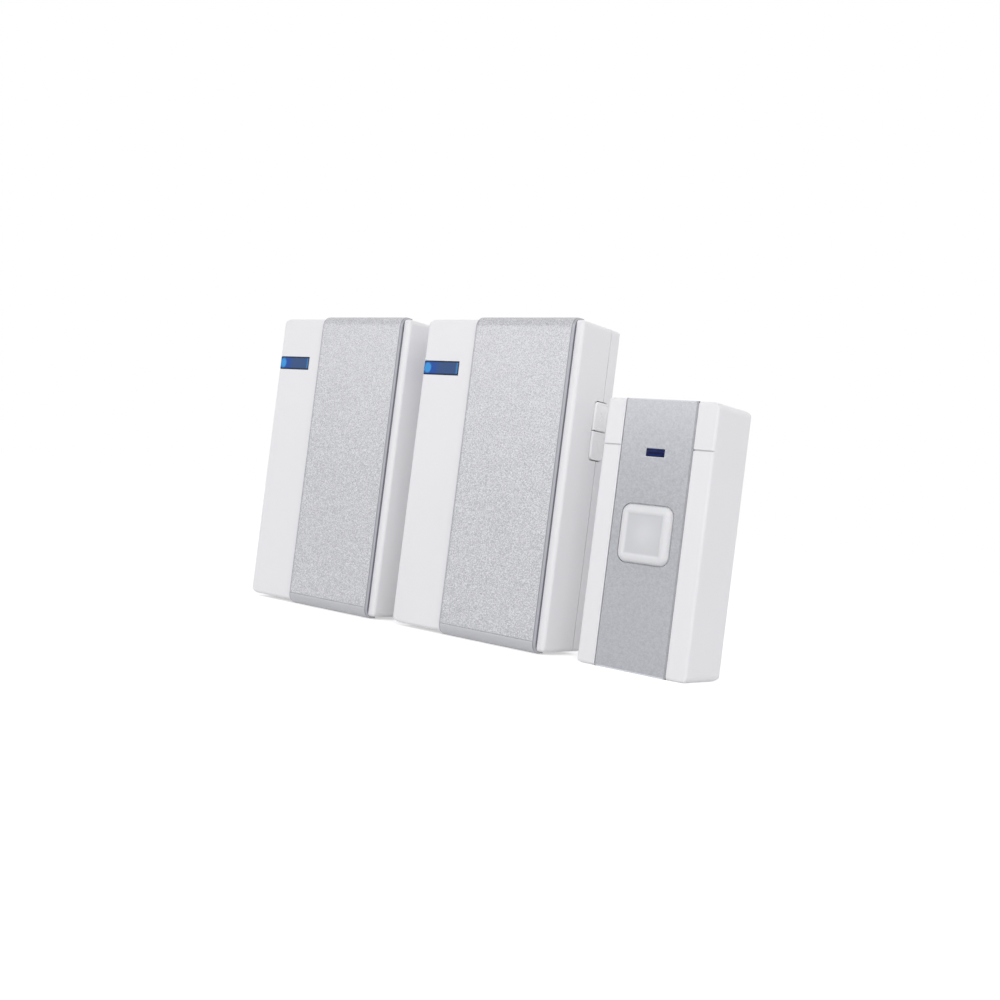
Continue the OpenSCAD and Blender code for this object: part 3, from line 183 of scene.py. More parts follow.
class KeySettings(bpy.types.PropertyGroup):
    """Shape and finish of the push-button unit's key and lens"""
    corner: length("Corner", "Radius of the key's corners", 3.0)
    rim: length("Rim", "Radius of the key's outer rim", 2.0)
    dish: length("Dish", "Width of the hollow in the key's face", 12.5)
    dish_deep: length("Dish depth", "Depth of the hollow", 0.35)
    slope: length("Slope", "Width of the slope down into the hollow", 1.2)
    dome: length("Dome", "Height of the soft dome in the hollow", 0.12)
    wall: length("Wall", "Wall of the key", 1.6)
    flange: length("Flange", "Thickness of the flange that keeps the key in", 0.8)
    flange_wide: length("Flange width", "Width of that flange", 1.2)
    step: length("Step", "How far the key's foot stands out into the opening", 0.16)
    step_deep: length("Step depth", "Depth of that foot below the panel's face", 0.5)
    post: length("Post", "Radius of the key's middle post", 2.2)
    milk: colour("Milk", "Colour of the hollow", (0.64, 0.645, 0.66))
    milk_centre: colour("Centre", "Colour of the hollow's middle", (0.72, 0.725, 0.74))
    milk_rim: colour("Rim colour", "Colour of the key's rim", (0.80, 0.80, 0.81))
    lens_flange: length("Lens flange", "Width of the flange behind the lens", 1.0)
    lens_flange_thick: length("Lens flange thickness", "Thickness of that flange", 0.8)
    navy: colour("Navy", "Colour of the lens", (0.004, 0.005, 0.045))


class InsideSettings(bpy.types.PropertyGroup):
    """Sizes of the wound and wired pieces inside"""
    cell_length: length("Cell", "Length of a chime's cell with its nub", 50.5)
    push_cell_length: length("Small cell", "Length of the push-button unit's cell with its nub", 28.9)
    nub: length("Nub", "Height of a cell's nub", 1.3)
    nub_radius: length("Nub radius", "Radius of a cell's nub", 2.75)
    spring_base: length("Spring base", "Diameter of a chime's battery spring at its plate", 9.0)
    spring_tip: length("Spring tip", "Diameter of a chime's battery spring at its tip", 5.0)
    spring_long: length("Spring length", "Length of a chime's fitted battery spring", 4.6)
    push_spring: length("Small spring", "Diameter of the push-button unit's battery spring", 6.0)
    wire: length("Wire", "Diameter of the springs' and the antenna's wire", 0.8)
    lead: length("Lead", "Diameter of the leads", 1.0)
    spring_turns: turns("Turns", "Turns of a battery spring", 3)
    antenna_turns: turns("Antenna turns", "Turns of the antenna", 9)


class StageSettings(bpy.types.PropertyGroup):
    """Camera, lamps and floor"""
    camera_place: FloatVectorProperty(
        name="Camera", description="Place of the camera", subtype="TRANSLATION",
        default=(0.2706, -0.3273, 0.0430))
    camera_turn: FloatVectorProperty(
        name="Turn", description="Turn of the camera", subtype="EULER",
        default=(math.radians(90.54), math.radians(-7.12), math.radians(38.31)))
    lens: FloatProperty(
        name="Lens", description="Focal length on a 36 mm sensor", default=44.64, unit="CAMERA")
    sky: share("Sky", "Strength of the soft light from all round", 0.63)
    key_power: power("Key light", "Power of the large lamp in front", 3.35)
    fill_power: power("Fill light", "Power of the large lamp at the right", 3.3)
    sheen_power: power("Sheen light", "Power of the lamp that the silver panels mirror", 0.52)
    floor_size: length("Floor", "Width of the floor", 30000.0)


class DoorbellSettings(bpy.types.PropertyGroup):
    """All settings of the doorbell set"""
    casing: PointerProperty(type=CasingSettings)
    panel: PointerProperty(type=ChimePanelSettings)
    lens: PointerProperty(type=ChimeLensSettings)
    button: PointerProperty(type=SideButtonSettings)
    push_panel: PointerProperty(type=PushPanelSettings)
    key: PointerProperty(type=KeySettings)
    inside: PointerProperty(type=InsideSettings)
    stage: PointerProperty(type=StageSettings)


def box_of(node):
    """Lowest and highest corner of a CAD node, as arrays."""
    low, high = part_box(node)
    return np.array(low), np.array(high)


def smooth_step(low, high, value):
    """A rise from 0 at low to 1 at high with flat ends."""
    t = np.clip((value - low) / (high - low), 0.0, 1.0)
    return t * t * (3.0 - 2.0 * t)


def grid(points, wrap=True, **attributes):
    """A surface of rows and columns of points, with quads between neighbours.

    It is closed round its columns if wrap.
    """
    rows, columns = points.shape[:2]
    row = np.arange(rows - 1)[:, None] * columns
    column = np.arange(columns if wrap else columns - 1)[None, :]
    here = row + column
    following = row + (column + 1) % columns
    quads = np.stack([here, following, following + columns, here + columns], axis=-1)
    values = {name: np.broadcast_to(value, (rows, columns)).ravel() for name, value in attributes.items()}
    return points.reshape(-1, 3), quads.reshape(-1, 4), values


def make_piece(name, surfaces, material, body, stands_for, sharp=40.0):
    """Joins surfaces into one closed mesh on a CAD body.

    Seams and poles are merged, and faces point outwards.
    """
    starts = np.cumsum([0] + [len(points) for points, _, _ in surfaces])
    points = np.concatenate([points for points, _, _ in surfaces]).astype(np.float32)
    quads = np.concatenate([quads + start for (_, quads, _), start in zip(surfaces, starts)])
    quads = quads.astype(np.int32)
    mesh = bpy.data.meshes.new(name)
    mesh.vertices.add(len(points))
    mesh.vertices.foreach_set("co", points.ravel())
    mesh.loops.add(quads.size)
    mesh.loops.foreach_set("vertex_index", quads.ravel())
    mesh.polygons.add(len(quads))
    mesh.polygons.foreach_set("loop_start", np.arange(0, quads.size, 4, dtype=np.int32))
    mesh.update(calc_edges=True)
    for key in sorted({key for _, _, values in surfaces for key in values}):
        layer = mesh.attributes.new(key, "FLOAT", "POINT")
        parts = [values.get(key, np.zeros(len(points))) for points, _, values in surfaces]
        layer.data.foreach_set("value", np.concatenate(parts).astype(np.float32))
    work = bmesh.new()
    work.from_mesh(mesh)
    bmesh.ops.remove_doubles(work, verts=work.verts, dist=MERGE)
    bmesh.ops.dissolve_degenerate(work, edges=work.edges, dist=MERGE)
    bmesh.ops.recalc_face_normals(work, faces=work.faces)
    work.to_mesh(mesh)
    work.free()
    mesh.shade_smooth()
    mesh.set_sharp_from_angle(angle=math.radians(sharp))
    mesh.materials.append(material)
    piece = bpy.data.objects.new(name, mesh)
    bpy.context.scene.collection.objects.link(piece)
    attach(piece, body)
    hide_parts(*stands_for)


def finish_nodes(material, *nodes):
    """Gives CAD nodes a material."""
    for node in nodes:
        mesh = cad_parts[node].data
        mesh.materials.clear()
        mesh.materials.append(material)


def both_chimes(*pieces):
    """Names of a piece's nodes in both chimes."""
    return [f"{side}_chime_{piece}" for side in SIDES for piece in pieces]


def inset_outlines(half, radii, insets, arc_steps=8, side_steps=8):
    """Rounded rectangles drawn in by each inset, as (insets, points, 2).

    They run anticlockwise from the upper right corner. Each corner is an arc whose centre stays while its
    radius lasts, and straight sides join the arcs.
    """
    insets = np.asarray(insets, float)
    signs = np.array([[1, 1], [-1, 1], [-1, -1], [1, -1]], float)
    radius = np.maximum(np.asarray(radii, float)[None, :] - insets[:, None], 0.0)
    room = np.asarray(half, float)[None, None, :] - insets[:, None, None] - radius[:, :, None]
    centre = signs[None] * room
    angle = np.radians(np.linspace(0, 90, arc_steps + 1)[None, :] + 90 * np.arange(4)[:, None])
    turn = np.stack([np.cos(angle), np.sin(angle)], axis=-1)
    arcs = centre[:, :, None, :] + radius[:, :, None, None] * turn[None]
    along = np.linspace(0, 1, side_steps + 1)[1:-1][:, None]
    following = np.roll(arcs[:, :, 0], -1, axis=1)[:, :, None, :]
    straights = arcs[:, :, -1:, :] * (1 - along) + following * along
    return np.concatenate([arcs, straights], axis=2).reshape(len(insets), -1, 2)


def quarter(start, end, count=6):
    """A quarter round from start to end: sines and cosines of 0 to 90 degrees.

    It leaves start along the second axis and reaches end along the first.
    """
    angle = np.linspace(0, np.pi / 2, count)
    start, end = np.asarray(start, float), np.asarray(end, float)
    return np.stack([
        start[0] + (end[0] - start[0]) * (1 - np.cos(angle)),
        start[1] + (end[1] - start[1]) * np.sin(angle),
    ], axis=1)


def set_back(rings, depth, place=(0.0, 0.0), **attributes):
    """A surface through outlines in X and Z, moved to a place and each set back to its own depth in Y."""
    y = np.broadcast_to(np.asarray(depth)[:, None], rings.shape[:2])
    points = np.stack([place[0] + rings[..., 0], y, place[1] + rings[..., 1]], axis=-1)
    return grid(points, **attributes)


def rounded_block(low, high, edge):
    """A box with round edges at its front and along Y: rounded rectangles from its front to its back."""
    half = (high - low)[[0, 2]] / 2
    insets = np.array([half.min(), edge, 0.3 * edge, 0, 0, half.min()])
    depth = np.array([low[1], low[1], low[1] + 0.3 * edge, low[1] + edge, high[1], high[1]])
    rings = inset_outlines(half, [edge] * 4, insets, 4, 2)
    return set_back(rings, depth, ((high + low) / 2)[[0, 2]])


def lathe(profile, middle, turned=False, sides=48, **attributes):
    """A profile of radius and height turned about an upright axis through middle.

    It stands upside down if turned.
    """
    angle = np.linspace(0, 2 * np.pi, sides, endpoint=False)
    radius = profile[:, 0:1]
    height = -profile[:, 1:2] if turned else profile[:, 1:2]
    points = np.stack([
        middle[0] + radius * np.cos(angle),
        middle[1] + radius * np.sin(angle),
        np.broadcast_to(middle[2] + height, (len(profile), sides)),
    ], axis=-1)
    return grid(points, **{name: np.asarray(value)[:, None] for name, value in attributes.items()})


def tube(path, diameter, axis, sides=16):
    """A round tube along a path, closed at both ends.

    Each point of the path has a circle in the plane across the path.
    """
    ahead = np.gradient(path, axis=0)
    ahead /= np.linalg.norm(ahead, axis=1, keepdims=True)
    side = np.cross(ahead, axis)
    side /= np.linalg.norm(side, axis=1, keepdims=True)
    up = np.cross(side, ahead)
    angle = np.linspace(0, 2 * np.pi, sides, endpoint=False)[None, :, None]
    rings = path[:, None] + diameter / 2 * (np.cos(angle) * side[:, None] + np.sin(angle) * up[:, None])
    first, last = (np.broadcast_to(path[k], (1, sides, 3)) for k in (0, -1))
    return grid(np.concatenate([first, rings, last]))


def curve_through(points, steps=8):
    """A smooth line through points.

    On each span it is a cubic, whose slope at a point is half the step between that point's neighbours.
    """
    points = np.asarray(points, float)
    ends = np.concatenate([2 * points[:1] - points[1:2], points, 2 * points[-1:] - points[-2:-1]])
    a, b, c, d = (ends[k:len(ends) - 3 + k, None] for k in range(4))
    t = np.linspace(0, 1, steps, endpoint=False)[None, :, None]
    spans = b + 0.5 * t * (c - a + t * (2 * a - 5 * b + 4 * c - d + t * (3 * (b - c) + d - a)))
    return np.concatenate([spans.reshape(-1, 3), points[-1:]])


def add_node(tree, kind, inputs=None, **settings):
    """Adds a shader node, sets its properties and sets or links its inputs."""
    made = tree.nodes.new(kind)
    for name, value in settings.items():
        setattr(made, name, value)
    for key, value in (inputs or {}).items():
        if isinstance(value, bpy.types.NodeSocket):
            tree.links.new(value, made.inputs[key])
        else:
            made.inputs[key].default_value = value
    return made


def new_material(name, roughness, metallic=0.0, **constants):
    """A material with a Principled shader, and its tree."""
    material = bpy.data.materials.new(name)
    material.use_nodes = True
    tree = material.node_tree
    shader = tree.nodes["Principled BSDF"]
    shader.inputs["Roughness"].default_value = roughness
    shader.inputs["Metallic"].default_value = metallic
    for key, value in constants.items():
        shader.inputs[key.replace("_", " ").title().replace("Ior", "IOR")].default_value = value
    return material, tree, shader


def object_coords(tree):
    """The object's own coordinates."""
    return add_node(tree, "ShaderNodeTexCoord").outputs["Object"]


def noise(tree, vector, size, detail=2.0):
    """Noise whose grains have about the given size in metres."""
    inputs = {"Vector": vector, "Scale": 1 / size, "Detail": detail}
    return add_node(tree, "ShaderNodeTexNoise", inputs).outputs[0]


def attribute(tree, name):
    """A value kept on the mesh's points."""
    return add_node(tree, "ShaderNodeAttribute", attribute_name=name).outputs["Fac"]


def math_node(tree, operation, a, b, c=0.0, clamp=False):
    """A sum, product or other operation on numbers."""
    return add_node(
        tree, "ShaderNodeMath", {0: a, 1: b, 2: c}, operation=operation, use_clamp=clamp).outputs[0]


def spread(tree, value, low, high):
    """Noise around one half spread between two numbers."""
    return add_node(
        tree, "ShaderNodeMapRange",
        {"Value": value, "From Min": 0.3, "From Max": 0.7, "To Min": low, "To Max": high}).outputs[0]


def mix_colours(tree, factor, a, b):
    """Two colours mixed by a factor."""
    a, b = ((*value, 1.0) if isinstance(value, tuple) else value for value in (a, b))
    return add_node(tree, "ShaderNodeMix", {0: factor, 6: a, 7: b}, data_type="RGBA").outputs[2]


def scaled(rgb, factor):
    """A colour made lighter or darker."""
    return tuple(min(1.0, channel * factor) for channel in rgb)


def bump(tree, shader, height, strength, distance):
    """Lets a height roughen the surface."""
    inputs = {"Height": height, "Strength": strength, "Distance": distance}
    tree.links.new(add_node(tree, "ShaderNodeBump", inputs).outputs[0], shader.inputs["Normal"])


def dress(tree, shader, tone, roughness):
    """Links a surface's colour and its roughness."""
    tree.links.new(tone, shader.inputs["Base Color"])
    tree.links.new(roughness, shader.inputs["Roughness"])


def flakes(tree, vector, size):
    """A random level between 0 and 1 for each flake of about the given size."""
    cells = add_node(tree, "ShaderNodeTexVoronoi", {"Vector": vector, "Scale": 1 / size})
    return add_node(tree, "ShaderNodeSeparateColor", {0: cells.outputs["Color"]}).outputs[0]


def moulded_plastic(name, rgb, roughness, grain, depth=0.02 * MM, mottle=0.02, **constants):
    """Moulded plastic: a faintly mottled colour, a fine mould texture and patches of other gloss."""
    material, tree, shader = new_material(name, roughness, **constants)
    coords = object_coords(tree)
    rgb = tuple(rgb)
    patches = noise(tree, coords, 30 * MM)
    tone = mix_colours(tree, patches, scaled(rgb, 1 - mottle), scaled(rgb, 1 + mottle))
    gloss = noise(tree, coords, 12 * MM)
    dress(tree, shader, tone, spread(tree, gloss, roughness - 0.05, roughness + 0.05))
    bump(tree, shader, noise(tree, coords, grain, 3.0), 0.35, depth)
    return material


def worked_metal(name, rgb, roughness, grain, stretch, tarnish=0.12):
    """Bare metal: fine drawn lines along one axis and light patches of tarnish."""
    material, tree, shader = new_material(name, roughness, 1.0)
    coords = object_coords(tree)
    drawn = add_node(tree, "ShaderNodeMapping", {"Vector": coords, "Scale": stretch}).outputs[0]
    lines = noise(tree, drawn, grain, 3.0)
    patches = noise(tree, coords, 4 * MM)
    tone = mix_colours(tree, patches, scaled(rgb, 1 - tarnish), scaled(rgb, 1.04))
    dress(tree, shader, tone, spread(tree, lines, roughness - 0.08, roughness + 0.08))
    bump(tree, shader, lines, 0.3, 0.01 * MM)
    return material


def grained_silver(settings):
    """Silver paint over moulded grain: flakes, painted light on the ridges and painted shade in the
    valleys, and plain borders or borders with painted shade.
    """
    material, tree, shader = new_material("grained silver", settings.roughness, settings.metallic)
    coords = object_coords(tree)
    rgb = tuple(settings.silver)
    fine = flakes(tree, coords, settings.flake)
    drift = spread(tree, noise(tree, coords, 5 * MM), 0.0, 1.0)
    # The relief paints light on the ridges and shade in the valleys.
    level = math_node(tree, "MULTIPLY_ADD", attribute(tree, "relief"), 0.14, -0.03)
    level = math_node(tree, "ADD", fine, level)
    level = math_node(tree, "MULTIPLY_ADD", drift, 0.04, level)
    paint = mix_colours(tree, level, scaled(rgb, 0.70), scaled(rgb, 1.30))
    paint = mix_colours(tree, attribute(tree, "plain"), paint, rgb)
    # The edge attribute paints shade on the panel's edges, under its bottom turn, over its top turn and in
    # the groove.
    shade = (0.34 * rgb[0], 0.345 * rgb[1], 0.40 * rgb[2])
    paint = mix_colours(tree, attribute(tree, "edge"), paint, shade)
    dress(tree, shader, paint, spread(tree, fine, settings.roughness - 0.08, settings.roughness + 0.08))
    bump(tree, shader, noise(tree, coords, settings.flake), 0.3, 0.03 * MM)
    return material


def satin_silver(settings):
    """Silver paint on a smooth panel: soft blotches, fine flakes, painted shade on the sides and painted
    highlights on the end bevels.
    """
    material, tree, shader = new_material("satin silver", settings.roughness, settings.metallic)
    coords = object_coords(tree)
    rgb = tuple(settings.silver)
    blotches = noise(tree, coords, settings.grain)
    fine = flakes(tree, coords, settings.flake)
    level = math_node(tree, "MULTIPLY_ADD", fine, 0.5, math_node(tree, "MULTIPLY", blotches, 0.5))
    paint = mix_colours(tree, level, scaled(rgb, 0.85), scaled(rgb, 1.15))
    # Painted shade on the walls and side bevels, and painted highlights on the top and bottom bevels.
    paint = mix_colours(tree, attribute(tree, "edge"), paint, scaled(rgb, 0.34))
    paint = mix_colours(tree, attribute(tree, "shine"), paint, scaled(rgb, 1.6))
    dress(tree, shader, paint, spread(tree, level, settings.roughness - 0.03, settings.roughness + 0.03))
    bump(tree, shader, blotches, 0.3, 0.015 * MM)
    return material


def lit_lens(settings):
    """Blue plastic with painted light from one end.

    It has a painted lit spot and a painted line of light near the far end, a blue part that breaks up into
    a slate far end, and painted shade on the rim.
    """
    material, tree, shader = new_material("blue lens", 0.2, specular_ior_level=0.12)
    coords = object_coords(tree)
    mottle = noise(tree, coords, 0.8 * MM, 3.0)
    patches = spread(tree, mottle, -0.35, 0.35)
    patchy = math_node(tree, "ADD", attribute(tree, "along"), patches, clamp=True)
    body = mix_colours(tree, patchy, tuple(settings.near), tuple(settings.far))
    # The glow attribute paints light in the spot and near the far end; the edge attribute paints shade on
    # the rim.
    lit = mix_colours(tree, attribute(tree, "glow"), body, tuple(settings.lit))
    rimmed = mix_colours(tree, attribute(tree, "edge"), lit, scaled(settings.far, 0.3))
    dress(tree, shader, rimmed, spread(tree, mottle, 0.14, 0.26))
    bump(tree, shader, mottle, 0.1, 0.03 * MM)
    return material


def navy_lens(settings):
    """Dark blue plastic with painted light in brighter blue patches along its rim."""
    material, tree, shader = new_material("navy lens", 0.2, specular_ior_level=0.12)
    coords = object_coords(tree)
    navy, bright = tuple(settings.navy), (0.010, 0.034, 0.20)
    mottle = noise(tree, coords, 0.7 * MM)
    # Painted light in patches along the rim.
    patches = math_node(tree, "MULTIPLY", attribute(tree, "edge"), spread(tree, mottle, 0.0, 1.0))
    tone = mix_colours(tree, patches, navy, bright)
    clouds = spread(tree, noise(tree, coords, 1.5 * MM), 0.0, 0.4)
    tone = mix_colours(tree, clouds, tone, scaled(navy, 0.6))
    dress(tree, shader, tone, spread(tree, mottle, 0.14, 0.26))
    bump(tree, shader, mottle, 0.1, 0.02 * MM)
    return material


def milky_key(settings):
    """Translucent white plastic: a pale rim, and a greyer hollow that is lighter in its middle."""
    material, tree, shader = new_material(
        "milky key", 0.34, subsurface_weight=0.15, subsurface_scale=0.8 * MM)
    coords = object_coords(tree)
    tone = mix_colours(tree, attribute(tree, "glow"), tuple(settings.milk), tuple(settings.milk_centre))
    tone = mix_colours(tree, attribute(tree, "edge"), tone, tuple(settings.milk_rim))
    clouds = noise(tree, coords, 6 * MM)
    tone = mix_colours(tree, spread(tree, clouds, 0.0, 0.06), tone, scaled(settings.milk, 0.9))
    dress(tree, shader, tone, spread(tree, clouds, 0.30, 0.40))
    bump(tree, shader, noise(tree, coords, 0.3 * MM), 0.15, 0.01 * MM)
    return material


def wrapped_cell(name, wrap, band):
    """A cell's printed wrap with one plain band near its nub, and bare steel ends."""
    material, tree, shader = new_material(name, 0.3)
    coords = object_coords(tree)
    print_edge = math_node(tree, "GREATER_THAN", attribute(tree, "along"), BAND_START)
    skin = mix_colours(tree, print_edge, wrap, band)
    scuffs = spread(tree, noise(tree, coords, 6 * MM), 0.0, 0.12)
    skin = mix_colours(tree, scuffs, skin, scaled(wrap, 0.5))
    bare, steel = attribute(tree, "bare"), (0.62, 0.62, 0.63)
    tone = mix_colours(tree, bare, skin, steel)
    tree.links.new(bare, shader.inputs["Metallic"])
    dress(tree, shader, tone, spread(tree, noise(tree, coords, 2 * MM), 0.24, 0.36))
    bump(tree, shader, noise(tree, coords, 1.2 * MM), 0.15, 0.02 * MM)
    return material


def circuit_board_finish():
    """Green solder mask over a maze of copper tracks, which shows as lighter raised lines."""
    material, tree, shader = new_material("solder mask", 0.32)
    coords = object_coords(tree)
    turn = (math.radians(90), 0, 0)
    upright = add_node(tree, "ShaderNodeMapping", {"Vector": coords, "Rotation": turn}).outputs[0]
    none, full = (0, 0, 0, 1), (1, 1, 1, 1)
    green, pale, dark = (0.018, 0.115, 0.045), (0.05, 0.22, 0.085), (0.012, 0.085, 0.035)
    tracks = add_node(tree, "ShaderNodeTexBrick", {
        "Vector": upright, "Scale": 1.0, "Mortar Size": 0.22 * MM, "Mortar Smooth": 0.3,
        "Brick Width": 5.2 * MM, "Row Height": 1.7 * MM, "Color1": none, "Color2": none, "Mortar": full,
    }).outputs[0]
    mask = mix_colours(tree, tracks, green, pale)
    clouds = spread(tree, noise(tree, coords, 8 * MM), 0.0, 0.3)
    mask = mix_colours(tree, clouds, mask, dark)
    dress(tree, shader, mask, spread(tree, noise(tree, coords, 3 * MM), 0.26, 0.4))
    bump(tree, shader, tracks, 0.4, 0.04 * MM)
    return material


def speaker_paper():
    """Dark pressed paper with short fibres."""
    material, tree, shader = new_material("speaker paper", 0.85)
    coords = object_coords(tree)
    dark, pale = (0.012, 0.012, 0.013), (0.055, 0.054, 0.052)
    fibres = noise(tree, coords, 0.7 * MM, 6.0)
    tone = mix_colours(tree, fibres, dark, pale)
    dress(tree, shader, tone, spread(tree, fibres, 0.78, 0.92))
    bump(tree, shader, fibres, 0.6, 0.08 * MM)
    return material


class DOORBELL_OT_stage(bpy.types.Operator):
    """Sets up the floor, the soft light and the camera"""
    bl_idname = "doorbell.stage"
    bl_label = "Stage"
    lamps = (
        ("front_key", "key_power", (1.0, 1.0), (0.5, -1.15, 0.7)),
        ("right_fill", "fill_power", (1.0, 1.0), (1.0, -0.8, 0.7)),
        ("left_sheen", "sheen_power", (0.7, 0.16), (-0.5, -0.78, 0.25)),
    )

    def execute(self, context):
        settings = context.scene.doorbell.stage
        context.scene.view_settings.view_transform = "Standard"
        self.add_floor(context, settings)
        self.add_sky(context, settings)
        for name, setting, size, place in self.lamps:
            self.add_lamp(context, name, getattr(settings, setting), size, place)
        self.add_camera(context, settings)
        return {"FINISHED"}

    def add_floor(self, context, settings):
        """A pale level floor that adds a little light of its own where it is seen."""
        half = settings.floor_size / 2
        level = CAD_BOX[0][2] - 0.02 * MM
        mesh = bpy.data.meshes.new("pale_floor")
        mesh.from_pydata(
            [(-half, -half, level), (half, -half, level), (half, half, level), (-half, half, level)],
            [], [(0, 1, 2, 3)])
        floor = bpy.data.objects.new("pale_floor", mesh)
        context.scene.collection.objects.link(floor)
        material = bpy.data.materials.new("pale floor")
        material.use_nodes = True
        tree = material.node_tree
        tree.nodes.clear()
        mottle = noise(tree, object_coords(tree), 0.4)
        tone = mix_colours(tree, mottle, (0.80, 0.80, 0.80), (0.82, 0.82, 0.82))
        matt = add_node(tree, "ShaderNodeBsdfDiffuse", {"Color": tone})
        glow = math_node(tree, "MULTIPLY", seen_rays(tree), 0.5)
        lift = add_node(tree, "ShaderNodeEmission", {"Strength": glow})
        both = add_node(tree, "ShaderNodeAddShader", {0: matt.outputs[0], 1: lift.outputs[0]})
        add_node(tree, "ShaderNodeOutputMaterial", {"Surface": both.outputs[0]})
        mesh.materials.append(material)

    def add_sky(self, context, settings):
        """Even light from all round, a little stronger from above, and white where it is seen."""
        world = bpy.data.worlds.new("studio")
        context.scene.world = world
        world.use_nodes = True
        tree = world.node_tree
        tree.nodes.clear()
        direction = add_node(tree, "ShaderNodeTexCoord").outputs["Generated"]
        rise = add_node(tree, "ShaderNodeSeparateXYZ", {0: direction}).outputs[2]
        strength = add_node(
            tree, "ShaderNodeMapRange",
            {"Value": rise, "From Min": 0.0, "From Max": 1.0,
             "To Min": settings.sky, "To Max": settings.sky * 1.1}).outputs[0]
        cool, plain = (0.985, 0.985, 1.02, 1.0), (1.0, 1.0, 1.0, 1.0)
        soft = add_node(tree, "ShaderNodeBackground", {"Color": cool, "Strength": strength})
        white = add_node(tree, "ShaderNodeBackground", {"Color": plain, "Strength": 1.0})
        mixed = add_node(
            tree, "ShaderNodeMixShader", {0: seen_rays(tree), 1: soft.outputs[0], 2: white.outputs[0]})
        add_node(tree, "ShaderNodeOutputWorld", {"Surface": mixed.outputs[0]})

    def add_lamp(self, context, name, watts, size, place):
        """A rectangular lamp that faces the middle of the row."""
        lamp = bpy.data.lights.new(name, "AREA")
        lamp.energy = watts
        lamp.shape = "RECTANGLE"
        lamp.size, lamp.size_y = size
        holder = bpy.data.objects.new(name, lamp)
        holder.location = place
        aim = Vector((0.0, 0.0, 0.05)) - holder.location
        holder.rotation_euler = aim.to_track_quat("-Z", "Y").to_euler()
        holder.visible_camera = False
        context.scene.collection.objects.link(holder)

    def add_camera(self, context, settings):
        """A camera a little below half the chimes' height, in front of the row and beyond its right end."""
        camera = bpy.data.cameras.new("front_right")
        camera.lens = settings.lens
        camera.sensor_width = 36.0
        camera.clip_start = 0.01
        holder = bpy.data.objects.new("front_right", camera)
        holder.location = settings.camera_place
        holder.rotation_euler = settings.camera_turn
        context.scene.collection.objects.link(holder)
        context.scene.camera = holder


def seen_rays(tree):
    """One for rays that show a surface: from the camera, from a mirror or through glass."""
    path = add_node(tree, "ShaderNodeLightPath")
    seen = math_node(tree, "MAXIMUM", path.outputs["Is Camera Ray"], path.outputs["Is Glossy Ray"])
    return math_node(tree, "MAXIMUM", seen, path.outputs["Is Transmission Ray"])


class DOORBELL_OT_casings(bpy.types.Operator):
    """Gives the casings, covers and doors their white plastic"""
    bl_idname = "doorbell.casings"
    bl_label = "Casings"

    def execute(self, context):
        settings = context.scene.doorbell.casing
        white = moulded_plastic("white casing", settings.white, settings.roughness, settings.texture)
        finish_nodes(white, *both_chimes("front_shell", "rear_cover", "battery_door"), "push_cover")
        rougher = settings.roughness + 0.12
        satin = moulded_plastic("white back plate", settings.white, rougher, settings.texture)
        finish_nodes(satin, "push_back_plate")
        return {"FINISHED"}


def labyrinth(shape, step, wave, seed):
    """Seeded noise that runs in crooked ridges, between -1 and 1.

    Of its waves those from about half to twice one length stay, and a hyperbolic tangent squeezes it.
    """
    band, squeeze = 0.6, 0.8
    made = np.random.default_rng(seed).standard_normal(shape)
    across = np.fft.fftfreq(shape[0], step)[:, None]
    along = np.fft.rfftfreq(shape[1], step)[None, :]
    kept = np.exp(-(np.log(np.maximum(np.hypot(across, along) * wave, MERGE)) / band) ** 2)
    relief = np.fft.irfft2(np.fft.rfft2(made) * kept, s=shape)
    return np.tanh(squeeze * relief / relief.std())


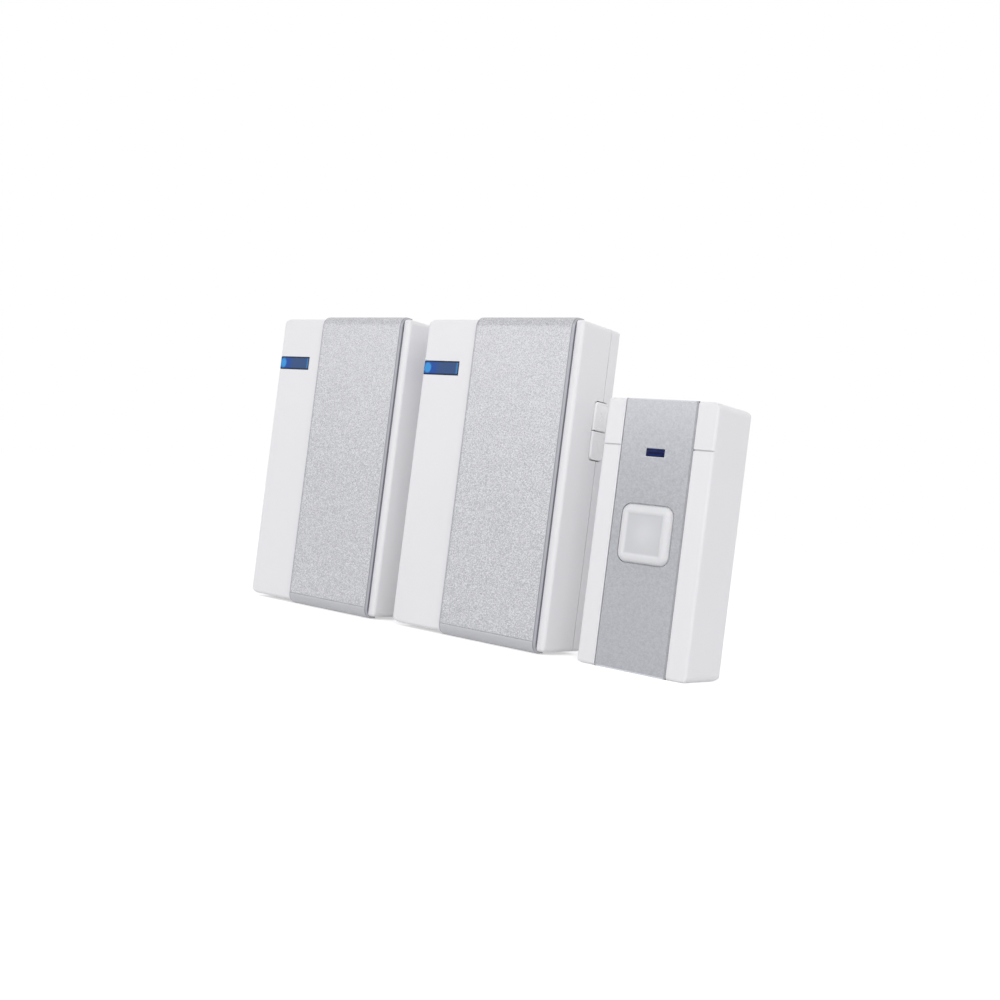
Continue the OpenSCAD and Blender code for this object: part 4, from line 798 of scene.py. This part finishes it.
class DOORBELL_OT_chime_panels(bpy.types.Operator):
    """Makes the chimes' silver panels"""
    bl_idname = "doorbell.chime_panels"
    bl_label = "Chime panels"
    # Strengths of painted shade: under the bottom turn, over the top turn, in the groove, along the left
    # edge and across the right step, ledge and wall.
    under_tone, top_tone, groove_tone = 0.14, 0.3, 0.9
    left_tones = (0.9, 0.4)
    right_tones = (0.0, 0.8, 0.85, 0.45, 0.4, 1.0, 1.0, 1.0)

    def execute(self, context):
        settings = context.scene.doorbell.panel
        silver = grained_silver(settings)
        for seed, side in enumerate(SIDES):
            node = f"{side}_chime_front_panel"
            low, high = box_of(node)
            surfaces = [self.strip(settings, low, high, seed), *self.hooks(settings, low, high)]
            make_piece(f"{side}_silver_panel", surfaces, silver, f"{side}_chime", [node],
                       50.0)
        return {"FINISHED"}

    def strip(self, settings, low, high, seed):
        """A cross-section carried back to front under the casing, up its front and back over its top.

        The run's direction turns through two quarter circles. A point of the section lies at its depth
        below the run.
        """
        radius = settings.turn
        leg = high[1] - low[1] - radius
        arc = np.pi / 2 * radius
        front = high[2] - low[2] - 2 * radius
        grain_start = leg + arc
        total = 2 * leg + 2 * arc + front
        fold = np.linspace(grain_start, grain_start + settings.groove, 8)
        rows = np.arange(fold[-1] + settings.grain_step, total, settings.grain_step)
        run = np.concatenate([
            np.linspace(0, leg, 6)[:-1], np.linspace(leg, grain_start, 14)[:-1], fold, rows, [total]])
        turn = (np.clip((run - leg) / radius, 0, np.pi / 2)
                + np.clip((run - leg - arc - front) / radius, 0, np.pi / 2))
        back = np.maximum(leg - run, 0) + np.maximum(run - total + leg, 0)
        run_y = low[1] + radius + back - radius * np.sin(turn)
        run_z = low[2] + radius + np.clip(run - grain_start, 0, front) - radius * np.cos(turn)
        x, depth, edge, field = self.section(settings, high[0] - low[0])
        grain = np.zeros((len(run), len(x)))
        grained, lined = run > fold[-1], field >= 0
        field_size = np.count_nonzero(grained), np.count_nonzero(lined)
        grain[np.ix_(grained, lined)] = labyrinth(
            field_size, settings.grain_step, settings.grain_wave, seed)
        relief = grain * smooth_step(0, settings.grain_step, np.where(lined, field, 0))[None, :]
        dip = np.exp(-((run - fold.mean()) / (0.4 * settings.groove)) ** 2)[:, None] * lined[None, :]
        sunk = depth[None, :] - settings.grain_high * relief + settings.groove_deep * dip
        points = np.stack([
            np.broadcast_to(low[0] + x, sunk.shape),
            run_y[:, None] + sunk * np.sin(turn)[:, None],
            run_z[:, None] + sunk * np.cos(turn)[:, None],
        ], axis=-1)
        broken = np.random.default_rng(seed).uniform(0.3, 1.0, len(x))[None, :]
        # Painted shade under the bottom turn, over the top turn, in the groove at a random strength, and
        # from the section's edges, fading over the turns.
        under = self.under_tone * (1 - smooth_step(grain_start - settings.groove, fold[0], run))[:, None]
        over_top = self.top_tone * smooth_step(np.radians(145), np.radians(165), turn)[:, None]
        turned = smooth_step(np.radians(25), np.radians(75), np.abs(turn - np.pi / 2))[:, None]
        dark = np.maximum(edge[None, :] * (1 - 0.7 * turned), under + over_top)
        dark = np.maximum(dark, self.groove_tone * dip * broken)
        ends = [np.broadcast_to(points[k].mean(axis=0), (1, len(x), 3)) for k in (0, -1)]
        points = np.concatenate([ends[0], points, ends[1]])
        plain = 1.0 - grained[:, None] * lined[None, :]
        padded = [np.pad(values, ((1, 1), (0, 0)), mode="edge") for values in (relief, dark, plain)]
        return grid(points, relief=padded[0], edge=padded[1], plain=padded[2])

    def section(self, settings, width):
        """The closed section across a panel: place, depth, painted edge shade, and distance into the field
        or -1.

        It has a round left edge, the grained field, a step down to a ledge at the right and a flat back.
        """
        soft = 0.06 * MM
        step, thick = settings.bevel, settings.thickness
        field_end = width - step - settings.ledge
        ledge = field_end + step
        left = quarter((0, settings.left_round), (settings.left_round, 0))
        columns = np.arange(settings.left_round + soft, field_end - soft, settings.grain_step)
        middle = np.stack([columns, np.zeros_like(columns)], axis=1)
        right = np.array([
            [field_end, 0], [field_end + soft, soft], [ledge - soft, step - soft], [ledge, step],
            [width - soft, step], [width, step + soft], [width, thick], [0, thick]])
        x, depth = np.concatenate([left, middle, right]).T
        # Painted shade along the left edge, fading into the field, and across the right step, ledge and
        # wall.
        fading = 1 - smooth_step(0, 2 * settings.left_round, columns - columns[0])
        edge = np.concatenate([
            np.linspace(*self.left_tones, len(left)), self.left_tones[1] * fading, self.right_tones])
        inside = np.minimum(columns - columns[0], columns[-1] - columns)
        field = np.concatenate([np.full(len(left), -1.0), inside, np.full(len(right), -1.0)])
        return x, depth, edge, field

    def hooks(self, settings, low, high):
        """The two hooks behind the panel's ends, which hold it in the casing."""
        thick, deep = settings.thickness, 0.7 * MM
        inset, long, short_of_back = 6 * MM, 1.0 * MM, 0.02 * MM
        for z0, z1 in ((low[2] + 0.5 * thick, low[2] + thick + deep),
                       (high[2] - thick - deep, high[2] - 0.5 * thick)):
            yield rounded_block(
                np.array([low[0] + inset, high[1] - long, z0]),
                np.array([high[0] - inset, high[1] - short_of_back, z1]), 0.1 * MM)


class DOORBELL_OT_chime_lenses(bpy.types.Operator):
    """Makes the chimes' blue lenses"""
    bl_idname = "doorbell.chime_lenses"
    bl_label = "Chime lenses"
    # Place, width and strength of the painted line of light near the far end.
    line_from_end, line_wide, line_tone = 0.8 * MM, 0.3 * MM, 0.7
    far_start, far_end = 4 * MM, 9 * MM

    def execute(self, context):
        settings = context.scene.doorbell.lens
        blue = lit_lens(settings)
        for side in SIDES:
            node = f"{side}_chime_indicator_lens"
            low, high = box_of(node)
            casing_low, _ = box_of(f"{side}_chime_front_shell")
            middle = (low[2] + high[2]) / 2
            half = (high[2] - low[2]) / 2 - settings.flange
            legs = high[1] - casing_low[1], high[0] - settings.flange - casing_low[0]
            bar = self.bar(settings, casing_low, middle, half, *legs)
            surfaces = [bar, self.flange(settings, low, high)]
            make_piece(f"{side}_blue_lens", surfaces, blue, f"{side}_chime", [node])
        return {"FINISHED"}

    def bar(self, settings, corner, middle, half, side, front):
        """A rounded rectangle carried along the left side, round the casing's corner and over the front."""
        radius, edge = settings.corner, settings.edge
        arc = np.pi / 2 * radius
        side_leg = side - radius
        total = side_leg + arc + front - radius
        ease = edge * np.array([0.0, 0.05, 0.3, 0.65, 1.0])
        between = np.linspace(edge, total - edge, 90)[1:-1]
        run = np.concatenate([[0], ease, between, total - ease[::-1], [total]])
        near_end = np.minimum(np.minimum(run, total - run), edge)
        insets = edge - np.sqrt(np.maximum(edge ** 2 - (edge - near_end) ** 2, 0))
        insets[[0, -1]] = min(half, settings.thickness / 2)
        turn = np.clip((run - side_leg) / radius, 0, np.pi / 2)
        x = corner[0] + radius - radius * np.cos(turn) + np.maximum(run - side_leg - arc, 0)
        y = corner[1] + radius - radius * np.sin(turn) + np.maximum(side_leg - run, 0)
        rings = inset_outlines((settings.thickness / 2, half), [edge] * 4, insets, 3, 10)
        deep = settings.thickness / 2 - rings[..., 0]
        points = np.stack([
            x[:, None] + deep * np.cos(turn)[:, None], y[:, None] + deep * np.sin(turn)[:, None],
            middle + rings[..., 1]], axis=-1)
        ahead = run[:, None] - side_leg - arc + radius
        # Painted light: a glowing spot near the left end and a line of light near the far end.
        wide, tall = settings.spot_size, 1.15 * settings.spot_size
        spot = np.hypot((ahead - settings.spot) / wide, rings[..., 1] / tall)
        from_line = (run - total + self.line_from_end) / self.line_wide
        last_line = self.line_tone * np.exp(-from_line ** 2)[:, None]
        glow = np.maximum(1 - smooth_step(0.75, 1.15, spot), last_line)
        # Painted shade on the rim, which also keeps the painted light off it.
        rim = smooth_step(half - 2 * edge, half - edge, np.abs(rings[..., 1]))
        rim = np.maximum(rim, smooth_step(total - 2 * edge, total - edge, run)[:, None])
        far = smooth_step(self.far_start, self.far_end, ahead)
        return grid(points, glow=glow * (1 - rim), edge=rim, along=far)

    def flange(self, settings, low, high):
        """The flat flange behind the front leg."""
        start = settings.thickness + 0.1 * MM
        front = low[1] + settings.thickness
        return rounded_block(
            np.array([low[0] + start, front, low[2]]),
            np.array([high[0], front + settings.flange_thick, high[2]]), 0.15 * MM)


class DOORBELL_OT_side_buttons(bpy.types.Operator):
    """Makes the chimes' side buttons"""
    bl_idname = "doorbell.side_buttons"
    bl_label = "Side buttons"

    def execute(self, context):
        settings = context.scene.doorbell.button
        white = moulded_plastic("white button", settings.white, 0.34, 0.3 * MM)
        for side in SIDES:
            for use in ("melody", "volume"):
                node = f"{side}_chime_{use}_button"
                low, high = box_of(node)
                flange_high = np.array([low[0] + settings.flange, high[1], high[2]])
                surfaces = [self.cap(settings, low, high, use), rounded_block(low, flange_high, 0.1 * MM)]
                make_piece(f"{side}_{use}_cap", surfaces, white, f"{side}_{use}_button", [node])
        return {"FINISHED"}

    def cap(self, settings, low, high, use):
        """Rounded rectangles from inside the flange out over the edge to the middle of a crowned face.

        The face sinks near a few short strokes: a chevron on the upper button and a slanted bar on the
        lower one.
        """
        upper = use == "melody"
        wide, face = settings.flange_wide, high[0]
        half = np.array([high[1] - low[1] - wide - settings.fit, high[2] - low[2] - wide]) / 2
        lift = -settings.gap if upper else wide + settings.gap
        centre = np.array([low[1] + wide + half[0], low[2] + half[1] + lift])
        half[0] -= settings.gap
        r, s = settings.corner, settings.split_corner
        radii = [r, r, s, s] if upper else [s, s, r, r]
        foot = low[0] + settings.flange / 2
        edge = quarter((0, face - settings.edge), (settings.edge, face))
        inner = np.linspace(settings.edge, half.min(), 26)[1:]
        insets = np.concatenate([[half.min(), 0], edge[:, 0], inner])
        heights = np.concatenate([[foot, foot], edge[:, 1], np.full(len(inner), face)])
        rings = inset_outlines(half, radii, insets, 6, 26)
        level = np.broadcast_to(heights[:, None], rings.shape[:2]).copy()
        on_face = (level > face - settings.edge) & (insets[:, None] > settings.edge)
        crown = settings.crown * (1 - smooth_step(settings.edge, half.min(), insets))[:, None]
        m = settings.mark
        tip, far = np.array([0.45 * m, 0.0]), np.array([-0.45 * m, m])
        strokes = [(tip, far), (tip, far * (1, -1))] if upper else [(-far, far)]
        near = np.min([stroke_distance(rings, *stroke) for stroke in strokes], axis=0)
        sunk = settings.mark_deep * (1 - smooth_step(0.5 * settings.mark_wide, settings.mark_wide, near))
        level -= crown * (insets[:, None] >= settings.edge) + np.where(on_face, sunk, 0)
        return grid(np.stack([level, centre[0] + rings[..., 0], centre[1] + rings[..., 1]], axis=-1))


def stroke_distance(points, start, end):
    """Distance of points from a straight stroke between two ends."""
    along = end - start
    t = np.clip(((points - start) @ along) / (along @ along), 0, 1)
    return np.linalg.norm(points - start - t[..., None] * along, axis=-1)


class DOORBELL_OT_push_panel(bpy.types.Operator):
    """Makes the push-button unit's silver panel"""
    bl_idname = "doorbell.push_panel"
    bl_label = "Push panel"
    across, band_rows = 40, 12

    def execute(self, context):
        settings = context.scene.doorbell.push_panel
        key = context.scene.doorbell.key
        low, high = box_of("push_panel")
        lens_low, lens_high = box_of("push_lens")
        key_low, key_high = box_of("push_key")
        middle = (low[0] + high[0]) / 2
        lens_half = (lens_high - lens_low)[[0, 2]] / 2 - key.lens_flange + settings.lens_fit
        key_half = (key_high - key_low)[[0, 2]] / 2 - key.flange_wide + settings.key_fit
        key_place = np.array([middle, (key_low[2] + key_high[2]) / 2])
        lens_place = np.array([middle, (lens_low[2] + lens_high[2]) / 2])
        surfaces = self.plate(settings, low, high, [
            (key_place, key_half, key.corner + settings.key_fit), (lens_place, lens_half, 0.2 * MM)])
        make_piece("push_silver_panel", surfaces, satin_silver(settings), "push_unit", ["push_panel"])
        return {"FINISHED"}

    def plate(self, settings, low, high, openings):
        """Bands of a front and a back sheet, some with an opening, joined by the plate's edge profile.

        A band with an opening runs from the opening's outline to the band's own border, side by side.
        """
        bevel, rim = settings.bevel, settings.rim
        deep = high[1] - low[1]
        x0, x1 = low[0] + bevel, high[0] - bevel
        columns = np.linspace(x0, x1, self.across + 1)
        surfaces, border_z, z = [], [], low[2] + bevel
        soft = 0.1 * bevel
        outer = np.array([
            [0, 0], [soft, soft], [bevel, bevel], [bevel, bevel + soft], [bevel, deep], [0, deep]])
        for place, half, radius in openings:
            reach = half[1] + settings.margin
            rows = np.linspace(z, place[1] - reach, self.band_rows)
            surfaces += self.sheet(columns, rows, low[1], high[1])
            surfaces += self.holed_sheet(columns, place, half, radius, reach, low[1], high[1], rim)
            border_z += [rows, np.linspace(-reach, reach, self.across + 1) + place[1]]
            z = place[1] + reach
        rows = np.linspace(z, high[2] - bevel, self.band_rows)
        surfaces += self.sheet(columns, rows, low[1], high[1])
        border_z.append(rows)
        upright = np.unique(np.round(np.concatenate(border_z), 9))
        border = np.concatenate([
            np.stack([columns, np.full_like(columns, upright[0])], axis=1),
            np.stack([np.full_like(upright, x1), upright], axis=1)[1:],
            np.stack([columns[::-1], np.full_like(columns, upright[-1])], axis=1)[1:],
            np.stack([np.full_like(upright, x0), upright[::-1]], axis=1)[1:-1]])
        way = np.stack([
            (border[:, 0] >= x1 - MERGE) * 1.0 - (border[:, 0] <= x0 + MERGE),
            (border[:, 1] >= upright[-1] - MERGE) * 1.0 - (border[:, 1] <= upright[0] + MERGE)], axis=1)
        rings = border[None] + outer[:, 0, None, None] * way[None]
        wall = (outer[:, 1] > bevel)[:, None]
        slope = ((outer[:, 1] > 0) & (outer[:, 1] <= bevel))[:, None]
        right, left = way[:, 0] > 0, way[:, 0] < 0
        # Painted shade on the walls, darkest on the right, and on the side bevels; painted highlights on
        # the top and bottom bevels.
        edge = wall * np.where(right, 1.0, 0.5) + slope * np.select([right, left], [0.3, 0.2], 0.0)
        shine = slope * np.where(right | left, 0.0, 1.0)
        return [*surfaces, set_back(rings, low[1] + outer[:, 1], edge=edge, shine=shine)]

    def sheet(self, columns, rows, front, back):
        """A plain band of the front sheet and of the back sheet."""
        x, z = np.meshgrid(columns, rows)
        return [grid(np.stack([x, np.full_like(x, y), z], axis=-1), wrap=False) for y in (front, back)]

    def holed_sheet(self, columns, place, half, radius, reach, front, back, rim):
        """A band round an opening, and the opening's wall with a rounded front edge."""
        steps = self.across // 2
        grown = inset_outlines(half, [radius] * 4, [-rim], steps, steps)[0]
        grown = np.roll(grown, -steps // 2, axis=0)
        side = np.linspace(-1, 1, 2 * steps + 1)[:-1]
        wide = (columns[-1] - columns[0]) / 2
        border = np.concatenate([
            np.stack([-side * wide, np.full_like(side, reach)], axis=1),
            np.stack([np.full_like(side, -wide), -side * reach], axis=1),
            np.stack([side * wide, np.full_like(side, -reach)], axis=1),
            np.stack([np.full_like(side, wide), side * reach], axis=1)])
        t = np.linspace(0, 1, 8)[:, None, None]
        rings = place + grown * (1 - t) + border * t
        bands = [set_back(rings, np.full(len(rings), y)) for y in (front, back)]
        deep = back - front
        profile = np.concatenate([quarter((0, -rim), (rim, 0), 5)[:, ::-1], [[0, deep], [-rim, deep]]])
        walls = inset_outlines(half, [radius] * 4, profile[:, 0], steps, steps)
        walls = np.roll(walls, -steps // 2, axis=1) + place
        return [*bands, set_back(walls, front + profile[:, 1])]


class DOORBELL_OT_push_key(bpy.types.Operator):
    """Makes the push-button unit's key and lens"""
    bl_idname = "doorbell.push_key"
    bl_label = "Push key and lens"

    def execute(self, context):
        settings = context.scene.doorbell.key
        milk = milky_key(settings)
        make_piece("push_milky_key", self.key(settings), milk, "push_key", ["push_key"], 60.0)
        make_piece("push_navy_lens", self.lens(settings), navy_lens(settings), "push_unit", ["push_lens"])
        return {"FINISHED"}

    def lens(self, settings):
        """A block with rounded upright edges whose rim is marked for painted light, and the flange behind
        it.
        """
        low, high = box_of("push_lens")
        flange = np.array([1.0, 0.0, 1.0]) * settings.lens_flange
        points, quads, _ = rounded_block(low + flange, high - flange, 0.22 * MM)
        off = np.abs(points - (low + high) / 2)[:, [0, 2]]
        rim = (((high - low) / 2 - flange)[[0, 2]] - off).min(axis=1)
        block = points, quads, {"edge": 1 - smooth_step(0.3 * MM, 0.7 * MM, rim)}
        flange_low = np.array([low[0], high[1] - settings.lens_flange_thick, low[2]])
        return [block, rounded_block(flange_low, high, 0.15 * MM)]

    def key(self, settings):
        """Rounded squares from the hollow inside, out over the flange and the rim, into the dished face.

        A soft dome rises in the middle of the dish, and a round post stands in the hollow.
        """
        low, high = box_of("push_key")
        place = ((low + high) / 2)[[0, 2]]
        half = (high[0] - low[0]) / 2 - settings.flange_wide
        rim, dish = settings.rim, half - settings.dish / 2
        inner = low[1] + settings.dish_deep + settings.wall
        flange_front = high[1] - settings.flange
        foot_front = box_of("push_panel")[0][1] + settings.step_deep
        outer_rim = quarter((0, low[1] + rim), (rim, low[1]), 9)
        slope = np.linspace(0, 1, 7)[1:]
        slope_at = dish + (slope - 0.5) * settings.slope
        slope_deep = low[1] + settings.dish_deep * smooth_step(0, 1, slope)
        face = np.linspace(slope_at[-1], half, 24)[1:]
        dome = smooth_step(0, 1, (face - face[0]) / (face[-1] - face[0]))
        flange, step = -settings.flange_wide, -settings.step
        inside = [half, settings.wall, settings.wall, flange, flange, step, step, 0]
        inside_deep = [inner, inner, high[1], high[1], flange_front, flange_front, foot_front, foot_front]
        face_deep = low[1] + settings.dish_deep - settings.dome * dome
        insets = np.concatenate([inside, outer_rim[:, 0], slope_at, face])
        depth = np.concatenate([inside_deep, outer_rim[:, 1], slope_deep, face_deep])
        rings = inset_outlines((half, half), [settings.corner] * 4, insets, 8, 16)
        from_middle = np.hypot(rings[..., 0], rings[..., 1]) / (0.5 * settings.dish)
        pale = 1 - smooth_step(slope_at[1], slope_at[-1], insets)[:, None]
        angle = np.linspace(0, 2 * np.pi, 32, endpoint=False)
        radius = np.array([0, 1, 1, 0])[:, None] * settings.post
        post = np.stack([radius * np.cos(angle), radius * np.sin(angle)], axis=-1)
        root = inner - 0.2 * MM
        return [set_back(rings, depth, place, glow=np.exp(-(1.5 * from_middle) ** 2), edge=pale),
                set_back(post, [root, root, high[1], high[1]], place)]


def cell_places(side):
    """Places of a chime's cells seen from above, and their radius.

    As many cells as fit stand side by side in their box.
    """
    low, high = box_of(f"{side}_chime_battery_cells")
    radius = (high[1] - low[1]) / 2
    count = int((high[0] - low[0]) // (2 * radius))
    middle = (low[1] + high[1]) / 2
    return [(x, middle) for x in np.linspace(low[0] + radius, high[0] - radius, count)], radius


class DOORBELL_OT_cells(bpy.types.Operator):
    """Makes the wrapped cells of the chimes and of the push-button unit"""
    bl_idname = "doorbell.cells"
    bl_label = "Cells"

    def execute(self, context):
        settings = context.scene.doorbell.inside
        wrap = wrapped_cell("blue cell wrap", (0.02, 0.06, 0.19), (0.55, 0.56, 0.58))
        for side in SIDES:
            node = f"{side}_chime_battery_cells"
            low, high = box_of(node)
            places, radius = cell_places(side)
            long = settings.cell_length
            surfaces = []
            for k, place in enumerate(places):
                turned = k % 2 == 1
                foot = low[2] + long if turned else high[2] - long
                surfaces.append(self.cell(settings, (*place, foot), radius, long, turned))
            make_piece(f"{side}_wrapped_cells", surfaces, wrap, f"{side}_chime", [node])
        low, high = box_of("push_battery")
        radius = (high[0] - low[0]) / 2
        base = ((low[0] + high[0]) / 2, (low[1] + high[1]) / 2, low[2])
        small = wrapped_cell("grey cell wrap", (0.33, 0.34, 0.36), (0.06, 0.15, 0.32))
        surfaces = [self.cell(settings, base, radius, settings.push_cell_length, False)]
        make_piece("push_wrapped_cell", surfaces, small, "push_unit", ["push_battery"])
        return {"FINISHED"}

    def cell(self, settings, base, radius, long, turned):
        """A turned profile: foot, rolled edge, wrapped wall, rolled shoulder, sunk ring and round nub."""
        top = long - settings.nub
        nub = settings.nub_radius
        lip, hollow, sunk = 0.5 * MM, 0.15 * MM, 0.3 * MM
        foot = quarter((0, radius - lip), (lip, radius))[:, ::-1]
        shoulder = np.stack([foot[::-1, 0], top - foot[::-1, 1]], axis=1)
        wall = [[radius, part * top] for part in (0.25, 0.5, BAND_START - 0.001, BAND_START + 0.001)]
        profile = np.concatenate([
            [[0, hollow], [0.6 * radius, hollow], [0.66 * radius, 0]], foot, wall, shoulder,
            [[0.86 * radius, top - sunk], [nub + 0.8 * MM, top - sunk], [nub, top],
             [nub, long - sunk], [nub - sunk, long], [0, long]]])
        bare = np.zeros(len(profile))
        bare[:4] = 1
        bare[-5:] = 1
        return lathe(profile, base, turned, bare=bare, along=profile[:, 1] / top)


class DOORBELL_OT_springs(bpy.types.Operator):
    """Makes the battery springs"""
    bl_idname = "doorbell.springs"
    bl_label = "Springs"

    def execute(self, context):
        settings = context.scene.doorbell.inside
        steel = worked_metal("spring steel", (0.62, 0.62, 0.64), 0.26, 0.4 * MM, (1.0, 1.0, 0.3))
        radii = settings.spring_base / 2, settings.spring_tip / 2
        for side in SIDES:
            node = f"{side}_chime_battery_springs"
            low, high = box_of(node)
            places, _ = cell_places(side)
            surfaces = []
            for k, place in enumerate(places):
                turned = k % 2 == 1
                base = (*place, high[2] if turned else low[2])
                surfaces.append(self.coil(settings, base, radii, settings.spring_long, turned))
            make_piece(f"{side}_cell_springs", surfaces, steel, f"{side}_chime", [node])
        low, high = box_of("push_battery_spring")
        cell_low, cell_high = box_of("push_battery")
        base = ((cell_low[0] + cell_high[0]) / 2, (cell_low[1] + cell_high[1]) / 2, low[2])
        even = (settings.push_spring / 2, settings.push_spring / 2)
        surfaces = [self.coil(settings, base, even, high[2] - low[2], False)]
        make_piece("push_cell_spring", surfaces, steel, "push_unit", ["push_battery_spring"])
        return {"FINISHED"}

    def coil(self, settings, base, radii, long, turned):
        """A helix whose radius changes evenly from its base to its tip.

        Its climb is even less a small sine, so that it starts and ends flatter than its middle.
        """
        t = np.linspace(0, 1, 48 * settings.spring_turns + 1)
        radius = radii[0] + (radii[1] - radii[0]) * t
        angle = 2 * np.pi * settings.spring_turns * t
        climb = t - 0.35 * np.sin(2 * np.pi * t) / (2 * np.pi)
        rise = settings.wire / 2 + (long - settings.wire) * climb
        mirrored = -1 if turned else 1
        path = np.stack([base[0] + radius * np.cos(angle), base[1] + mirrored * radius * np.sin(angle),
                         base[2] + mirrored * rise], axis=1)
        return tube(path, settings.wire, (0.0, 0.0, 1.0), 12)


class DOORBELL_OT_leads(bpy.types.Operator):
    """Makes the chimes' leads and antenna coils"""
    bl_idname = "doorbell.leads"
    bl_label = "Leads and antennas"

    def execute(self, context):
        settings = context.scene.doorbell.inside
        black = moulded_plastic("lead insulation", (0.02, 0.02, 0.022), 0.42, 0.4 * MM, 0.01 * MM, 0.3)
        copper = worked_metal("enamelled copper", (0.72, 0.36, 0.16), 0.24, 0.3 * MM, (0.2, 1.0, 1.0))
        for side in SIDES:
            node = f"{side}_chime_wiring"
            surfaces = [tube(route, settings.lead, (1.0, 0.0, 0.0)) for route in self.routes(side)]
            make_piece(f"{side}_leads", surfaces, black, f"{side}_chime", [node])
            node = f"{side}_chime_antenna_coil"
            surfaces = [tube(self.antenna(settings, node), settings.wire, (1.0, 0.0, 0.0))]
            make_piece(f"{side}_antenna", surfaces, copper, f"{side}_chime", [node])
        return {"FINISHED"}

    def routes(self, side):
        """Routes of the two battery leads and the two speaker leads.

        Their points are in millimetres from the casing's lower left corner, at the board's back.
        """
        corner, _ = box_of(f"{side}_chime_front_shell")
        _, board_high = box_of(f"{side}_chime_circuit_board")
        start = np.array([corner[0], board_high[1], corner[2]])
        battery = [[(17.85, 2.4, 60.5), (17.85, 2.4, 62.2), (17.85, 2.4, 63.8), (17.85, 2.0, 64.8),
                    (17.85, 1.0, 65.2), (17.85, 0.0, 65.2)],
                   [(57.8, 2.4, 61.0), (57.8, 2.4, 62.2), (57.1, 2.4, 63.3), (56.35, 2.3, 64.7),
                    (56.3, 1.9, 65.5), (56.3, 1.0, 65.9), (56.3, 0.0, 65.9)]]
        speaker = [[(x, 4.55, 92.65), (x, 3.75, 93.25), (x, 2.95, 93.9), (x, 1.5, 94.35), (x, 0.0, 94.4)]
                   for x in (30.75, 34.75)]
        return [start + MM * curve_through(route) for route in battery + speaker]

    def antenna(self, settings, node):
        """A straight lead from the board's front into a helix along X."""
        low, high = box_of(node)
        wire = settings.wire
        radius = (high[2] - low[2] - wire) / 2
        start = np.array([low[0] + wire / 2, high[1] - radius - wire, (low[2] + high[2]) / 2])
        pitch = (high[0] - low[0] - wire) / settings.antenna_turns
        angle = np.linspace(0, 2 * np.pi * settings.antenna_turns, 40 * settings.antenna_turns + 1)
        helix = start + np.stack([
            pitch * angle / (2 * np.pi), -radius * np.sin(angle), radius * np.cos(angle)], axis=1)
        lead = np.linspace((start[0], high[1], start[2] + radius), helix[0], 8)[:-1]
        return np.concatenate([lead, helix])


class DOORBELL_OT_inner_pieces(bpy.types.Operator):
    """Gives the boards, components, contacts, screws and speakers their finishes"""
    bl_idname = "doorbell.inner_pieces"
    bl_label = "Inner pieces"

    def execute(self, context):
        finish_nodes(circuit_board_finish(), *both_chimes("circuit_board"), "push_circuit_board")
        epoxy = moulded_plastic("black epoxy", (0.018, 0.018, 0.02), 0.5, 0.2 * MM, 0.03 * MM, 0.25)
        finish_nodes(epoxy, *both_chimes("board_parts", "switch_bodies", "speaker_frame"),
                     "push_board_parts", "push_switch_body")
        plated = worked_metal("plated contacts", (0.66, 0.65, 0.62), 0.3, 0.3 * MM, (0.1, 1.0, 1.0))
        finish_nodes(plated, *both_chimes("contact_plates"), "push_battery_contacts")
        screws = worked_metal("zinc screws", (0.56, 0.57, 0.59), 0.32, 0.25 * MM, (1.0, 0.2, 1.0), 0.2)
        finish_nodes(screws, *both_chimes("board_screws", "case_screws"), "push_board_screws")
        magnet = worked_metal("magnet steel", (0.45, 0.45, 0.47), 0.38, 0.5 * MM, (1.0, 1.0, 1.0), 0.2)
        finish_nodes(magnet, *both_chimes("speaker_magnet"))
        finish_nodes(speaker_paper(), *both_chimes("speaker_cone"))
        stems = moulded_plastic("switch stems", (0.62, 0.62, 0.63), 0.4, 0.2 * MM)
        finish_nodes(stems, *both_chimes("melody_stem", "volume_stem"), "push_switch_stem")
        led = moulded_plastic(
            "blue led", (0.12, 0.30, 0.72), 0.12, 0.5 * MM, 0.01 * MM, 0.1, coat_weight=0.5)
        finish_nodes(led, *both_chimes("indicator_led"), "push_led")
        return {"FINISHED"}


OPERATORS = (
    DOORBELL_OT_stage, DOORBELL_OT_casings, DOORBELL_OT_chime_panels, DOORBELL_OT_chime_lenses,
    DOORBELL_OT_side_buttons, DOORBELL_OT_push_panel, DOORBELL_OT_push_key, DOORBELL_OT_cells,
    DOORBELL_OT_springs, DOORBELL_OT_leads, DOORBELL_OT_inner_pieces,
)
GROUPS = (
    CasingSettings, ChimePanelSettings, ChimeLensSettings, SideButtonSettings, PushPanelSettings,
    KeySettings, InsideSettings, StageSettings, DoorbellSettings,
)


class DOORBELL_PT_pieces(bpy.types.Panel):
    """Lists the doorbell set's pieces and their settings"""
    bl_idname = "DOORBELL_PT_pieces"
    bl_label = "Doorbell"
    bl_space_type = "VIEW_3D"
    bl_region_type = "UI"
    bl_category = "Doorbell"

    def draw(self, context):
        settings = context.scene.doorbell
        for made in OPERATORS:
            self.layout.operator(made.bl_idname)
        for name in settings.__annotations__:
            box = self.layout.box()
            group = getattr(settings, name)
            box.label(text=name.replace("_", " ").capitalize())
            for key in group.__annotations__:
                box.prop(group, key)


CLASSES = (*GROUPS, *OPERATORS, DOORBELL_PT_pieces)


def register():
    """Registers the classes and hangs the settings on the scene."""
    for made in CLASSES:
        bpy.utils.register_class(made)
    bpy.types.Scene.doorbell = PointerProperty(type=DoorbellSettings)


def unregister():
    """Takes the settings and the classes away again."""
    del bpy.types.Scene.doorbell
    for made in reversed(CLASSES):
        bpy.utils.unregister_class(made)


def main():
    """Builds every piece."""
    register()
    for made in OPERATORS:
        group, name = made.bl_idname.split(".")
        if "FINISHED" not in getattr(getattr(bpy.ops, group), name)():
            raise RuntimeError(f"{made.bl_label} was not finished")


if __name__ == "__main__":
    main()
